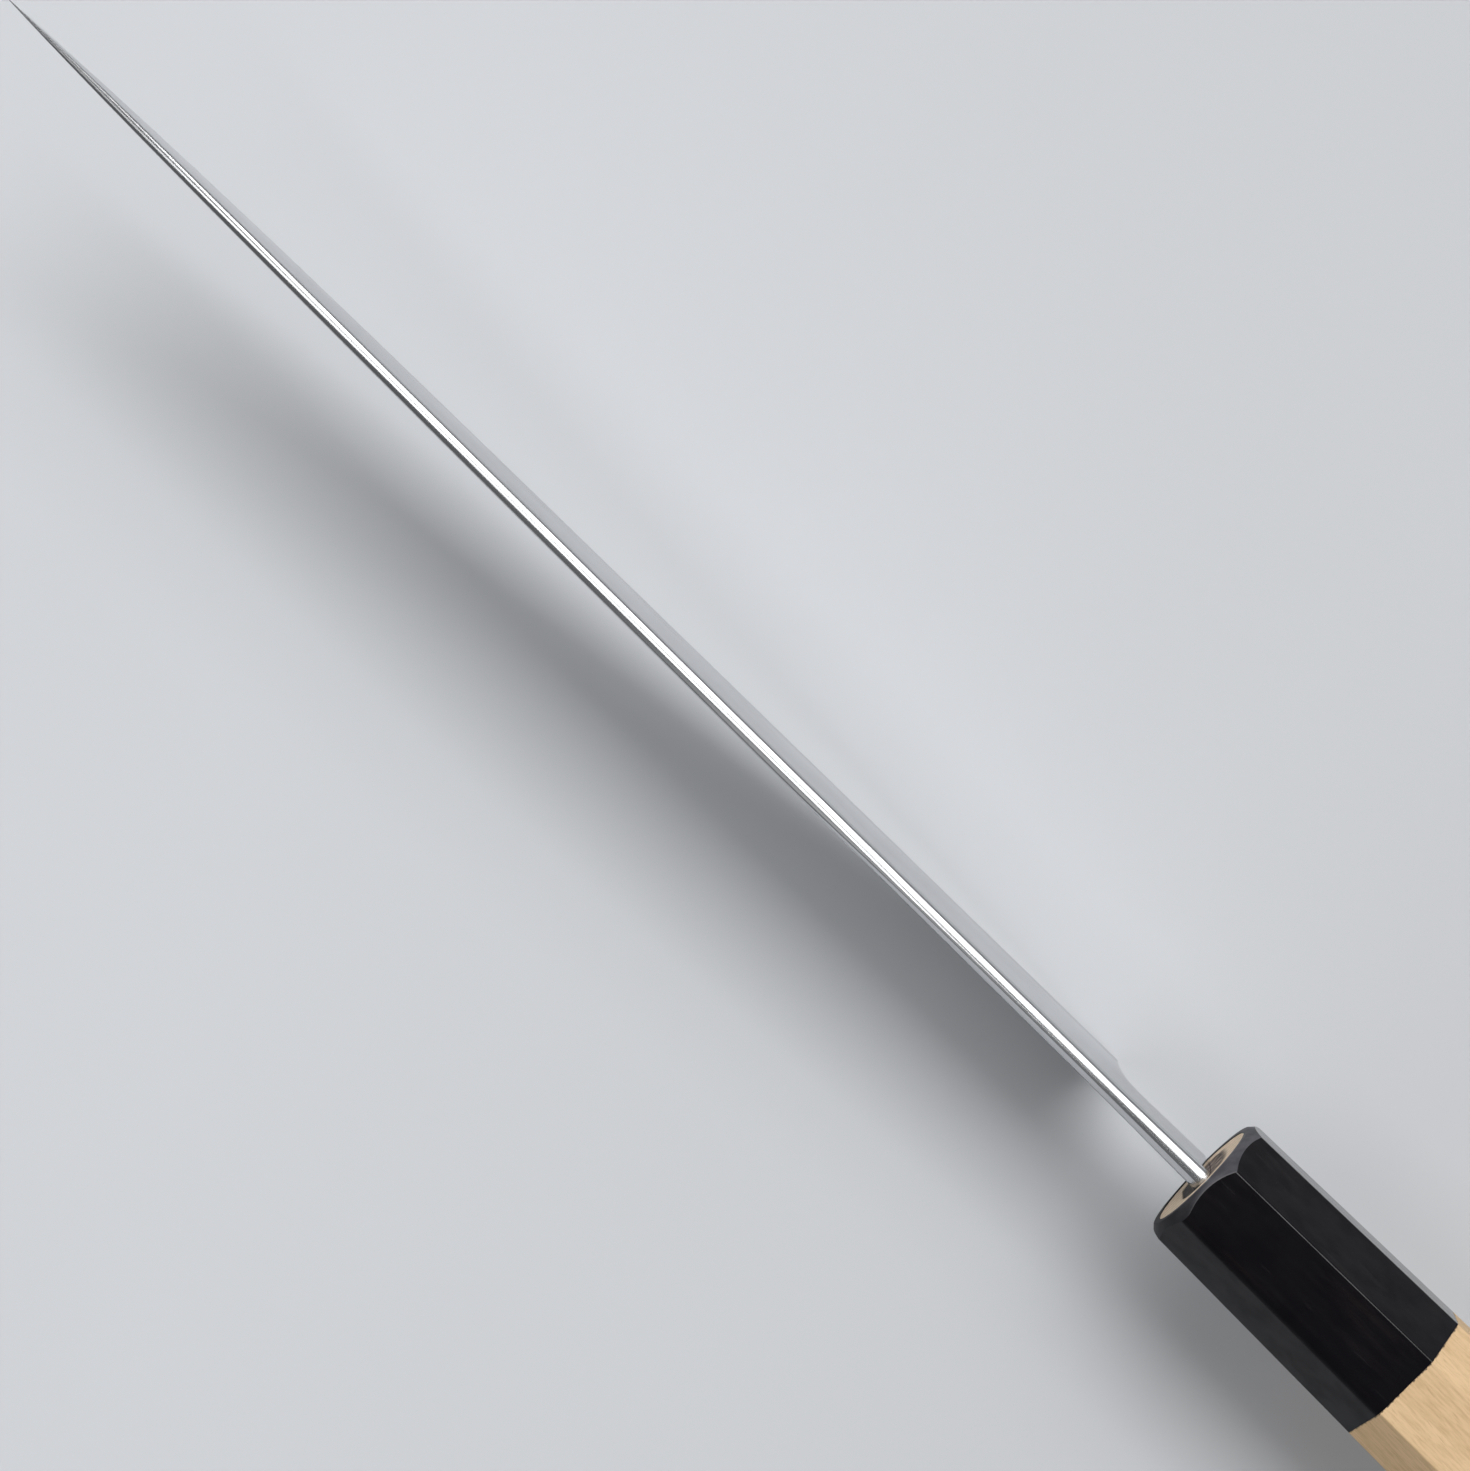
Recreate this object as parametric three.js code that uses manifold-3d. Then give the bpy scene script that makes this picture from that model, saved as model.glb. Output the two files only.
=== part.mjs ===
// A gyuto: a Japanese chef's knife whose hidden tang is bedded in an octagonal magnolia handle with a horn ferrule.
// Millimetres. X runs from the butt to the tip, Z from the cutting edge to the spine, Y to the knife's left.
// The origin lies under the middle of the knife's length, at the level of the heel's edge.
import * as THREE from "three";
import { mergeVertices } from "three/addons/utils/BufferGeometryUtils.js";
import Module from "manifold-3d";

const wasm = await Module();
wasm.setup();

// Blade outline, seen from the side
const BLADE_LENGTH = 212.5; // heel to tip
const HEEL_HEIGHT = 45.5; // edge to spine at the heel
const TIP_DROP = 13; // fall of the spine from heel to tip
const SPINE_POWER = 2.1; // how late the spine falls
const EDGE_RISE = 12; // straight rise of the edge from heel to tip
const BELLY_POWER = 7.5; // how late the belly turns up to the tip

// Blade thickness and grind
const NECK_THICKNESS = 3.1; // at the ferrule's face
const HEEL_THICKNESS = 2.65;
const DISTAL_TAPER = 1.05; // thickness lost evenly from heel to tip
const TIP_THINNING = 1.5; // thickness lost mostly near the tip
const TIP_POWER = 10; // how late the tip thins
const GRIND_POWER = 2.2; // 1 is a flat grind, more is a fuller convex one
const BEVEL_HEIGHT = 0.6; // sharpened bevel
const BEVEL_THICKNESS = 0.24; // where the bevel ends
const CROWN_SHARE = 0.265; // height of the rounded spine over its thickness

// Neck, choil and tang
const NECK_LENGTH = 16; // heel to the ferrule's face
const NECK_HEIGHT = 17;
const CHOIL_REACH = 4; // how far the choil's curve runs back under the neck
const HEEL_HOLLOW = 0.8; // pull of the hollow in the heel's back edge
const MACHI_STEP = 4.5; // step from the neck's underside up to the tang's
const MACHI_GAP = 0.4; // between that step and the ferrule's face
const TANG_TOP_STEP = 2; // step from the spine down to the tang's top, inside the mouth
const TANG_LENGTH = 92; // from the ferrule's face
const TANG_END_HEIGHT = 6;
const TANG_END_THICKNESS = 1.7;
const TANG_END_OVER_AXIS = 3; // top of the tang's end over the handle's axis

// Handle: an octagon that widens evenly from the ferrule's face to the butt
const HANDLE_LENGTH = 140;
const FRONT_WIDTH = 19.2;
const FRONT_HEIGHT = 22.4;
const BUTT_WIDTH = 23.8;
const BUTT_HEIGHT = 26.8;
const TOP_FACET_SHARE = 0.475; // width of the top facet over the octagon's width
const SIDE_FACET_SHARE = 0.44; // height of the side facet over the octagon's height
const BUTT_CHAMFER = 1.2;
const SPINE_OVER_AXIS = 6.4; // spine above the handle's axis

// Ferrule and the tenon that fills it
const FERRULE_LENGTH = 37;
const NOSE_WIDTH = 18; // flat oval end of the ferrule's rounded nose
const NOSE_HEIGHT = 20.8;
const NOSE_LENGTH = 3.2; // along the ferrule
const NOSE_FLARE = 0.125; // growth of that oval in the first millimetre back
const NOSE_EASING = 0.012; // how quickly the growth eases off, which rounds the nose
const TENON_WIDTH = 15.8;
const TENON_HEIGHT = 19;
const TENON_SETBACK = 0.2; // from the ferrule's face to the tenon's end

// Tang slot and bedding
const MOUTH_WIDTH = 7.4; // scorched opening of the slot in the tenon's end
const MOUTH_DEPTH = 4;
const MOUTH_TOP_ROOM = 0.4; // over the spine
const MOUTH_BOTTOM_ROOM = 0.8; // under the tang
const BEDDING_WALL = 1.1; // bedding round the tang and behind its end
const BEDDING_SETBACK = 0.3; // from the ferrule's face to the bedding
const JOINT_GAP = 0.25; // between pieces that are glued or bedded together

// Fineness of the curves
const BLADE_STATIONS = 46;
const FACE_STEPS = 7;
const FACE_STEP_POWER = 1.4; // above 1, the steps are closer together near the edge
const CROWN_STEPS = 8;
const OVAL_STEPS = 48;
const NOSE_STEPS = 4;
const CHOIL_STEPS = 20;
const CUT_MARGIN = 1; // how far a cutting solid passes what it cuts

// Places that follow from the sizes
const BUTT_X = -(HANDLE_LENGTH + NECK_LENGTH + BLADE_LENGTH) / 2;
const FACE_X = BUTT_X + HANDLE_LENGTH; // the ferrule's face
const HEEL_X = FACE_X + NECK_LENGTH;
const TIP_X = HEEL_X + BLADE_LENGTH;
const SHOULDER_X = FACE_X - FERRULE_LENGTH; // joint of horn and wood
const TANG_END_X = FACE_X - TANG_LENGTH;
const AXIS_Z = HEEL_HEIGHT - SPINE_OVER_AXIS;
const NECK_BOTTOM_Z = HEEL_HEIGHT - NECK_HEIGHT;
const TANG_BOTTOM_Z = NECK_BOTTOM_Z + MACHI_STEP;
const TANG_TOP_Z = HEEL_HEIGHT - TANG_TOP_STEP;
const TANG_END_TOP_Z = AXIS_Z + TANG_END_OVER_AXIS;

// Finishes
const STEEL = new THREE.MeshStandardMaterial({ color: 0xb9bbbd, roughness: 0.22, metalness: 1 });
const HORN = new THREE.MeshStandardMaterial({ color: 0x17171a, roughness: 0.35, metalness: 0 });
const MAGNOLIA = new THREE.MeshStandardMaterial({ color: 0xd9b98c, roughness: 0.7, metalness: 0 });
const RESIN = new THREE.MeshStandardMaterial({ color: 0x2b211b, roughness: 0.6, metalness: 0 });

const { lerp } = THREE.MathUtils;

function middleOf(ring) {
  const sum = new THREE.Vector3();
  ring.forEach((point) => sum.add(point));
  return sum.divideScalar(ring.length);
}

// A closed solid through rings of points that follow one another along +X. Each ring turns from +Y to +Z.
// Its last end is closed to one point, which is the middle of the last ring unless another is given.
function loft(rings, endPoint = middleOf(rings[rings.length - 1])) {
  const around = rings[0].length;
  const startIndex = rings.length * around;
  const endIndex = startIndex + 1;
  const lastRing = startIndex - around;
  const faces = [];
  for (let step = 0; step < around; step += 1) {
    const next = (step + 1) % around;
    faces.push(startIndex, next, step);
    faces.push(endIndex, lastRing + step, lastRing + next);
    for (let ring = 0; ring < lastRing; ring += around) {
      faces.push(ring + step, ring + next, ring + around + next);
      faces.push(ring + step, ring + around + next, ring + around + step);
    }
  }
  const geometry = new THREE.BufferGeometry();
  geometry.setFromPoints([...rings.flat(), middleOf(rings[0]), endPoint]);
  geometry.setIndex(faces);
  return solidOf(geometry);
}

// A geometry as a solid that can be cut and joined.
function solidOf(geometry) {
  const bare = geometry.clone();
  bare.deleteAttribute("normal");
  bare.deleteAttribute("uv");
  const merged = mergeVertices(bare, 1e-4);
  const vertProperties = merged.attributes.position.array;
  const triVerts = new Uint32Array(merged.index.array);
  return new wasm.Manifold(new wasm.Mesh({ numProp: 3, vertProperties, triVerts }));
}

function piece(name, solid, material) {
  const { vertProperties, triVerts } = solid.getMesh();
  const geometry = new THREE.BufferGeometry();
  geometry.setAttribute("position", new THREE.BufferAttribute(vertProperties, 3));
  geometry.setIndex(new THREE.BufferAttribute(triVerts, 1));
  geometry.computeVertexNormals();
  const mesh = new THREE.Mesh(geometry, material);
  mesh.name = name;
  return mesh;
}

// Share of the blade's length: 0 at the heel, 1 at the tip, below 0 along the neck and tang.
function bladeShare(x) {
  return (x - HEEL_X) / BLADE_LENGTH;
}

function spineHeight(x) {
  return HEEL_HEIGHT - TIP_DROP * Math.max(bladeShare(x), 0) ** SPINE_POWER;
}

// The edge rises in a straight line and then turns up in the belly, to meet the spine at the tip.
function edgeHeight(x) {
  const bellyRise = HEEL_HEIGHT - TIP_DROP - EDGE_RISE;
  const share = bladeShare(x);
  return EDGE_RISE * share + bellyRise * Math.max(share, 0) ** BELLY_POWER;
}

// Thickness just under the rounded spine, from the end of the tang to the tip.
function spineThickness(x) {
  if (x < FACE_X) {
    return lerp(NECK_THICKNESS, TANG_END_THICKNESS, (FACE_X - x) / TANG_LENGTH);
  }
  if (x < HEEL_X) {
    return lerp(HEEL_THICKNESS, NECK_THICKNESS, (HEEL_X - x) / NECK_LENGTH);
  }
  const share = bladeShare(x);
  return HEEL_THICKNESS - DISTAL_TAPER * share - TIP_THINNING * share ** TIP_POWER;
}

// One section of the blade: the sharpened bevel, two convex faces and the rounded spine.
function bladeRing(x) {
  const top = spineHeight(x);
  const bottom = edgeHeight(x);
  const height = top - bottom;
  const half = spineThickness(x) / 2;
  const crown = Math.min(2 * half * CROWN_SHARE, height / 3);
  const bevel = Math.min(BEVEL_HEIGHT, height / 4);
  const bevelHalf = Math.min(BEVEL_THICKNESS, half) / 2;
  const left = [];
  for (let step = 0; step < FACE_STEPS; step += 1) {
    const up = (step / FACE_STEPS) ** FACE_STEP_POWER;
    const fullness = 1 - (1 - up) ** GRIND_POWER;
    left.push(new THREE.Vector3(x, lerp(bevelHalf, half, fullness), lerp(bottom + bevel, top - crown, up)));
  }
  const spine = [];
  for (let step = 0; step <= CROWN_STEPS; step += 1) {
    const angle = (Math.PI * step) / CROWN_STEPS;
    spine.push(new THREE.Vector3(x, half * Math.cos(angle), top - crown + crown * Math.sin(angle)));
  }
  const right = left.map((point) => new THREE.Vector3(x, -point.y, point.z)).reverse();
  return [new THREE.Vector3(x, 0, bottom), ...left, ...spine, ...right];
}

// The ground wedge from behind the tang to the tip, before its outline is cut. The stations close up to the tip.
function groundWedge() {
  const rings = [bladeRing(TANG_END_X - CUT_MARGIN), bladeRing(FACE_X)];
  for (let step = 0; step < BLADE_STATIONS; step += 1) {
    const share = Math.sin((Math.PI / 2) * (step / BLADE_STATIONS));
    rings.push(bladeRing(HEEL_X + BLADE_LENGTH * share));
  }
  return loft(rings, new THREE.Vector3(TIP_X, 0, spineHeight(TIP_X)));
}

// The outline cut out of that wedge behind the heel: hollow heel, choil, neck, steps and tapering tang. In front of
// the heel it passes clear of the spine and the edge.
function bladeOutline() {
  const above = HEEL_HEIGHT + CUT_MARGIN;
  const ahead = TIP_X + CUT_MARGIN;
  const below = -CUT_MARGIN;
  const hollowX = HEEL_X + HEEL_HOLLOW;
  const width = 2 * NECK_THICKNESS;
  const outline = new THREE.Shape();
  outline.moveTo(HEEL_X, below);
  outline.lineTo(HEEL_X, 0);
  outline.bezierCurveTo(hollowX, NECK_BOTTOM_Z / 2, hollowX, NECK_BOTTOM_Z, HEEL_X - CHOIL_REACH, NECK_BOTTOM_Z);
  outline.lineTo(FACE_X + MACHI_GAP, NECK_BOTTOM_Z);
  outline.lineTo(FACE_X + MACHI_GAP, TANG_BOTTOM_Z);
  outline.lineTo(TANG_END_X, TANG_END_TOP_Z - TANG_END_HEIGHT);
  outline.lineTo(TANG_END_X, TANG_END_TOP_Z);
  outline.lineTo(FACE_X - MOUTH_DEPTH, TANG_TOP_Z);
  outline.lineTo(FACE_X - MOUTH_DEPTH, above);
  outline.lineTo(ahead, above);
  outline.lineTo(ahead, below);
  const geometry = new THREE.ExtrudeGeometry(outline, {
    depth: width,
    bevelEnabled: false,
    curveSegments: CHOIL_STEPS,
  });
  geometry.rotateX(Math.PI / 2);
  geometry.translate(0, width / 2, 0);
  return solidOf(geometry);
}

function blade() {
  return piece("blade_with_tang", groundWedge().intersect(bladeOutline()), STEEL);
}

// The handle's octagon at a place along X, drawn in on every side.
function handleRing(x, inset = 0) {
  const back = (FACE_X - x) / HANDLE_LENGTH;
  const y = lerp(FRONT_WIDTH, BUTT_WIDTH, back) / 2;
  const z = lerp(FRONT_HEIGHT, BUTT_HEIGHT, back) / 2;
  const corners = [
    [1, SIDE_FACET_SHARE],
    [TOP_FACET_SHARE, 1],
    [-TOP_FACET_SHARE, 1],
    [-1, SIDE_FACET_SHARE],
    [-1, -SIDE_FACET_SHARE],
    [-TOP_FACET_SHARE, -1],
    [TOP_FACET_SHARE, -1],
    [1, -SIDE_FACET_SHARE],
  ];
  return corners.map(([shareY, shareZ]) => {
    return new THREE.Vector3(x, (y - inset) * shareY, AXIS_Z + (z - inset) * shareZ);
  });
}

// An oval on the handle's axis, as a ring.
function ovalRing(x, width, height) {
  const ring = [];
  for (let step = 0; step < OVAL_STEPS; step += 1) {
    const angle = (2 * Math.PI * step) / OVAL_STEPS;
    ring.push(new THREE.Vector3(x, (width / 2) * Math.cos(angle), AXIS_Z + (height / 2) * Math.sin(angle)));
  }
  return ring;
}

// An upright slot with round ends, as a ring.
function slotRing(x, width, bottom, top) {
  const radius = width / 2;
  const straight = Math.max((top - bottom) / 2 - radius, 0);
  const middle = (bottom + top) / 2;
  const ring = [];
  for (let step = 0; step < OVAL_STEPS; step += 1) {
    const angle = (2 * Math.PI * (step + 0.5)) / OVAL_STEPS;
    const shift = angle < Math.PI ? straight : -straight;
    ring.push(new THREE.Vector3(x, radius * Math.cos(angle), middle + shift + radius * Math.sin(angle)));
  }
  return ring;
}

// The rounded nose of the ferrule: an oval that grows backwards, ever more slowly, until it clears the octagon.
function ferruleNose() {
  const rings = [ovalRing(SHOULDER_X - CUT_MARGIN, 2 * FRONT_WIDTH, 2 * FRONT_HEIGHT)];
  for (let step = NOSE_STEPS; step >= 0; step -= 1) {
    const back = (NOSE_LENGTH * step) / NOSE_STEPS;
    const growth = 1 + NOSE_FLARE * back - NOSE_EASING * back ** 2;
    rings.push(ovalRing(FACE_X - back, NOSE_WIDTH * growth, NOSE_HEIGHT * growth));
  }
  return loft(rings);
}

function ferrule() {
  const block = loft([handleRing(SHOULDER_X), handleRing(FACE_X)]);
  const boreWidth = TENON_WIDTH + 2 * JOINT_GAP;
  const boreHeight = TENON_HEIGHT + 2 * JOINT_GAP;
  const bore = loft([
    ovalRing(SHOULDER_X - CUT_MARGIN, boreWidth, boreHeight),
    ovalRing(FACE_X + CUT_MARGIN, boreWidth, boreHeight),
  ]);
  return piece("horn_ferrule", block.intersect(ferruleNose()).subtract(bore), HORN);
}

// The slot for tang and bedding, from behind the tang's end to a given front, drawn in on every side.
function tangSlot(frontX, inset = 0) {
  const room = BEDDING_WALL + 2 * JOINT_GAP - inset;
  const mouthWidth = MOUTH_WIDTH - 2 * inset;
  const mouthBottom = TANG_BOTTOM_Z - MOUTH_BOTTOM_ROOM + inset;
  const mouthTop = HEEL_HEIGHT + MOUTH_TOP_ROOM - inset;
  const endWidth = TANG_END_THICKNESS + 2 * room;
  const throatX = FACE_X - 2 * MOUTH_DEPTH;
  const throatWidth = NECK_THICKNESS + 2 * room;
  return loft([
    slotRing(TANG_END_X - room, endWidth, TANG_END_TOP_Z - TANG_END_HEIGHT - room, TANG_END_TOP_Z + room),
    slotRing(throatX, throatWidth, TANG_BOTTOM_Z - room, TANG_TOP_Z + room),
    slotRing(FACE_X - MOUTH_DEPTH, mouthWidth, mouthBottom, mouthTop),
    slotRing(frontX, mouthWidth, mouthBottom, mouthTop),
  ]);
}

function handleBody() {
  const backX = SHOULDER_X - JOINT_GAP;
  const body = loft([handleRing(BUTT_X, BUTT_CHAMFER), handleRing(BUTT_X + BUTT_CHAMFER), handleRing(backX)]);
  const tenon = loft([
    ovalRing(backX - CUT_MARGIN, TENON_WIDTH, TENON_HEIGHT),
    ovalRing(FACE_X - TENON_SETBACK, TENON_WIDTH, TENON_HEIGHT),
  ]);
  return piece("handle_body", body.add(tenon).subtract(tangSlot(FACE_X + CUT_MARGIN)), MAGNOLIA);
}

// A rectangle across X, as a ring.
function plateRing(x, thickness, bottom, top) {
  const half = thickness / 2;
  return [
    new THREE.Vector3(x, half, bottom),
    new THREE.Vector3(x, half, top),
    new THREE.Vector3(x, -half, top),
    new THREE.Vector3(x, -half, bottom),
  ];
}

// The hollow that the tang leaves in its bedding, with a gap all round.
function tangHollow() {
  const endBottom = TANG_END_TOP_Z - TANG_END_HEIGHT - JOINT_GAP;
  const endThickness = TANG_END_THICKNESS + 2 * JOINT_GAP;
  const thickness = NECK_THICKNESS + 2 * JOINT_GAP;
  const bottom = TANG_BOTTOM_Z - JOINT_GAP;
  const stepX = FACE_X - MOUTH_DEPTH - JOINT_GAP;
  return loft([
    plateRing(TANG_END_X - JOINT_GAP, endThickness, endBottom, TANG_END_TOP_Z + JOINT_GAP),
    plateRing(stepX - JOINT_GAP, thickness, bottom, TANG_TOP_Z + JOINT_GAP),
    plateRing(stepX, thickness, bottom, HEEL_HEIGHT + CUT_MARGIN),
    plateRing(FACE_X, thickness, bottom, HEEL_HEIGHT + CUT_MARGIN),
  ]);
}

// Dark resin that fills the scorched slot round the tang.
function bedding() {
  const fill = tangSlot(FACE_X - BEDDING_SETBACK, JOINT_GAP);
  return piece("tang_bedding", fill.subtract(tangHollow()), RESIN);
}

const knife = new THREE.Group();
knife.add(blade(), ferrule(), handleBody(), bedding());

export default knife;
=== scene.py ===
"""Dress of a gyuto: a Japanese chef's knife with a horn ferrule on an octagonal magnolia handle.

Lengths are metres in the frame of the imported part: X runs from the butt to the tip, Y to the
knife's left and Z from the cutting edge to the spine.
"""

from __future__ import annotations

import logging
import math
from dataclasses import dataclass
from enum import Enum
from itertools import pairwise
from typing import Any, Callable, Union

import bmesh
import bpy
from mathutils import Matrix, Vector


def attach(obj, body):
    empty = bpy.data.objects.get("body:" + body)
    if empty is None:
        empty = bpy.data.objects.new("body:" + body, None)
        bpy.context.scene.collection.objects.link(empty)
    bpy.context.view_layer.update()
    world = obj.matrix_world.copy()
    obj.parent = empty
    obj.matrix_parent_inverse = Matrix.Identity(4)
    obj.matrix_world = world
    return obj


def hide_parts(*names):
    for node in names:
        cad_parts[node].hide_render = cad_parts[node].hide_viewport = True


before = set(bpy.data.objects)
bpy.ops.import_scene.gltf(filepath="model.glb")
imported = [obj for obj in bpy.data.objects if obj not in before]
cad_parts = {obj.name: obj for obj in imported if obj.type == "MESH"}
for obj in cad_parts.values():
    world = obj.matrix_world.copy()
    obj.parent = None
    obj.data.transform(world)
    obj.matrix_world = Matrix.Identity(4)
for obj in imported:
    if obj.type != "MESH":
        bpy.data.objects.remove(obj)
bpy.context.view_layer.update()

LOG = logging.getLogger("gyuto")
MM = 0.001
TINY = 0.01 * MM
MERGE_DISTANCE = 0.0005 * MM

Pair = tuple[float, float]
Triple = tuple[float, float, float]
# The two ends of a smooth step and, unless they are 0 and 1, its values there.
Band = tuple[float, ...]
Piece = bpy.types.Object
Material = bpy.types.Material
Edge = bmesh.types.BMEdge
Node = bpy.types.Node
Tree = bpy.types.NodeTree
Socket = bpy.types.NodeSocket
# What an input takes: another node's output or a plain value.
Source = Union[Socket, float, Triple]
Inputs = dict[Union[str, int], Source]


class Pick(Enum):
    """What a selection in edit mode is made of."""

    POINTS = "VERT"
    EDGES = "EDGE"


class Cut(Enum):
    """What a tool does to a piece."""

    REMOVE = "DIFFERENCE"
    KEEP = "INTERSECT"
    JOIN = "UNION"


class Half(Enum):
    """Which half of a sawn piece is kept, as the option that clears the other half."""

    FRONT = "clear_inner"
    BACK = "clear_outer"


class Bench:
    """The hand tools that the pieces are modelled with."""

    @staticmethod
    def clear() -> None:
        """Leave edit mode and deselect every object."""
        if bpy.context.mode != "OBJECT":
            bpy.ops.object.mode_set(mode="OBJECT")
        bpy.ops.object.select_all(action="DESELECT")

    @staticmethod
    def hold(piece: Piece) -> None:
        """Make a piece the only one selected, in object mode.

        Args:
            piece: The piece.
        """
        Bench.clear()
        piece.select_set(True)
        bpy.context.view_layer.objects.active = piece

    @staticmethod
    def edit(piece: Piece) -> None:
        """Open a piece in edit mode with all of it selected.

        Args:
            piece: The piece.
        """
        Bench.hold(piece)
        bpy.ops.object.mode_set(mode="EDIT")
        bpy.ops.mesh.select_all(action="SELECT")

    @staticmethod
    def close() -> None:
        """Merge doubles in the open piece, turn its faces outwards and leave edit mode."""
        bpy.ops.mesh.select_mode(type="VERT")
        bpy.ops.mesh.select_all(action="SELECT")
        bpy.ops.mesh.remove_doubles(threshold=MERGE_DISTANCE)
        bpy.ops.mesh.normals_make_consistent(inside=False)
        bpy.ops.object.mode_set(mode="OBJECT")

    @staticmethod
    def ring(name: str, places: list[Triple], filled: bool = False) -> Piece:
        """Add a ring of edges and lay its points on the given places.

        Args:
            name: Name of the new piece.
            places: One place for each point, in order round the ring.
            filled: Whether a face fills the ring.

        Returns:
            The new piece, open in edit mode with the ring selected.
        """
        Bench.clear()
        bpy.ops.mesh.primitive_circle_add(vertices=len(places), radius=1)
        piece = bpy.context.object
        piece.name = name
        for point, place in zip(piece.data.vertices, places):
            point.co = place
        Bench.edit(piece)
        if filled:
            bpy.ops.mesh.edge_face_add()
        return piece

    @staticmethod
    def block(name: str, places: list[Triple], move: Triple) -> Piece:
        """Draw a face out into a solid.

        Args:
            name: Name of the new piece.
            places: The face's corners, in order.
            move: The way from the face to the other end.

        Returns:
            The solid.
        """
        piece = Bench.ring(name, places, filled=True)
        Bench.draw_out(move)
        Bench.close()
        return piece

    @staticmethod
    def pick(kind: Pick, test: Callable[[Any], bool]) -> None:
        """Select the parts of the open piece that pass a test.

        Args:
            kind: Points or edges.
            test: Says of one part whether it is selected.
        """
        mesh = bpy.context.edit_object.data
        bpy.ops.mesh.select_mode(type=kind.value)
        bpy.ops.mesh.select_all(action="DESELECT")
        form = bmesh.from_edit_mesh(mesh)
        for part in form.verts if kind is Pick.POINTS else form.edges:
            if test(part):
                part.select_set(True)
        form.select_flush_mode()
        bmesh.update_edit_mesh(mesh)

    @staticmethod
    def draw_out(move: Triple) -> None:
        """Extrude the selection by a move."""
        bpy.ops.mesh.extrude_region_move(TRANSFORM_OT_translate={"value": move})

    @staticmethod
    def scale(share: Triple, centre: Triple) -> None:
        """Scale the selection about a centre."""
        bpy.ops.transform.resize(value=share, center_override=centre)

    @staticmethod
    def flatten(place: Vector, up: Vector) -> None:
        """Press the selection onto a plane.

        Args:
            place: A point of the plane.
            up: The plane's normal.
        """
        across = up.cross(Vector((1, 0, 0))).normalized()
        bpy.ops.transform.resize(
            value=(1, 1, 0),
            orient_type="GLOBAL",
            orient_matrix_type="GLOBAL",
            orient_matrix=(across.cross(up), across, up),
            constraint_axis=(False, False, True),
            center_override=place,
        )

    @staticmethod
    def cap(x: float) -> None:
        """Close the ring of the open piece that lies at a place along X with one face."""
        Bench.pick(Pick.POINTS, lambda point: abs(point.co.x - x) < TINY)
        bpy.ops.mesh.edge_face_add()

    @staticmethod
    def saw(piece: Piece, x: float, half: Half) -> None:
        """Saw a piece through and close the cut.

        Args:
            piece: The piece that changes.
            x: Place of the cut along X.
            half: Which half is kept.
        """
        Bench.edit(piece)
        clears = {half.value: True}
        bpy.ops.mesh.bisect(plane_co=(x, 0, 0), plane_no=(1, 0, 0), use_fill=True, **clears)
        Bench.close()

    @staticmethod
    def cut(piece: Piece, tool: Piece, how: Cut) -> None:
        """Cut or join a piece with a tool, which is then thrown away.

        Args:
            piece: The piece that changes.
            tool: A closed solid.
            how: What the tool does to the piece.
        """
        Bench.hold(piece)
        modifier = piece.modifiers.new("cut", "BOOLEAN")
        modifier.object = tool
        modifier.operation = how.value
        modifier.solver = "EXACT"
        bpy.ops.object.modifier_apply(modifier=modifier.name)
        bpy.data.objects.remove(tool, do_unlink=True)

    @staticmethod
    def ease(piece: Piece, test: Callable[[Edge], bool], width: float, steps: int) -> None:
        """Round the edges of a piece that pass a test.

        Args:
            piece: The piece that changes.
            test: Says of one edge whether it is rounded.
            width: Width of the rounding on each side of the edge.
            steps: Number of facets in the rounding.
        """
        Bench.edit(piece)
        Bench.pick(Pick.EDGES, test)
        bpy.ops.mesh.bevel(offset=width, segments=steps, affect="EDGES", clamp_overlap=True)
        bpy.ops.object.mode_set(mode="OBJECT")

    @staticmethod
    def smooth(piece: Piece, angle: float) -> None:
        """Clean a piece up and shade it smooth, with its flat faces kept flat.

        Args:
            piece: The piece that changes.
            angle: Angle in degrees above which an edge stays sharp.
        """
        Bench.edit(piece)
        Bench.close()
        bpy.ops.object.shade_smooth_by_angle(angle=math.radians(angle))
        modifier = piece.modifiers.new("flats", "WEIGHTED_NORMAL")
        modifier.keep_sharp = True
        bpy.ops.object.modifier_apply(modifier=modifier.name)

    @staticmethod
    def middle(edge: Edge) -> Vector:
        """Middle of an edge."""
        return (edge.verts[0].co + edge.verts[1].co) / 2

    @staticmethod
    def is_sharp(edge: Edge, angle: float) -> bool:
        """Whether the surface turns at an edge by more than an angle in degrees."""
        return edge.calc_face_angle(0.0) > math.radians(angle)


@dataclass(frozen=True)
class Pattern:
    """A fractal noise: its fineness along each axis, its turn and shift, and its finer layers."""

    scale: Triple = (1, 1, 1)
    turn: Triple = (0, 0, 0)
    move: Triple = (0, 0, 0)
    detail: float = 3.0
    rough: float = 0.55


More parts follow.
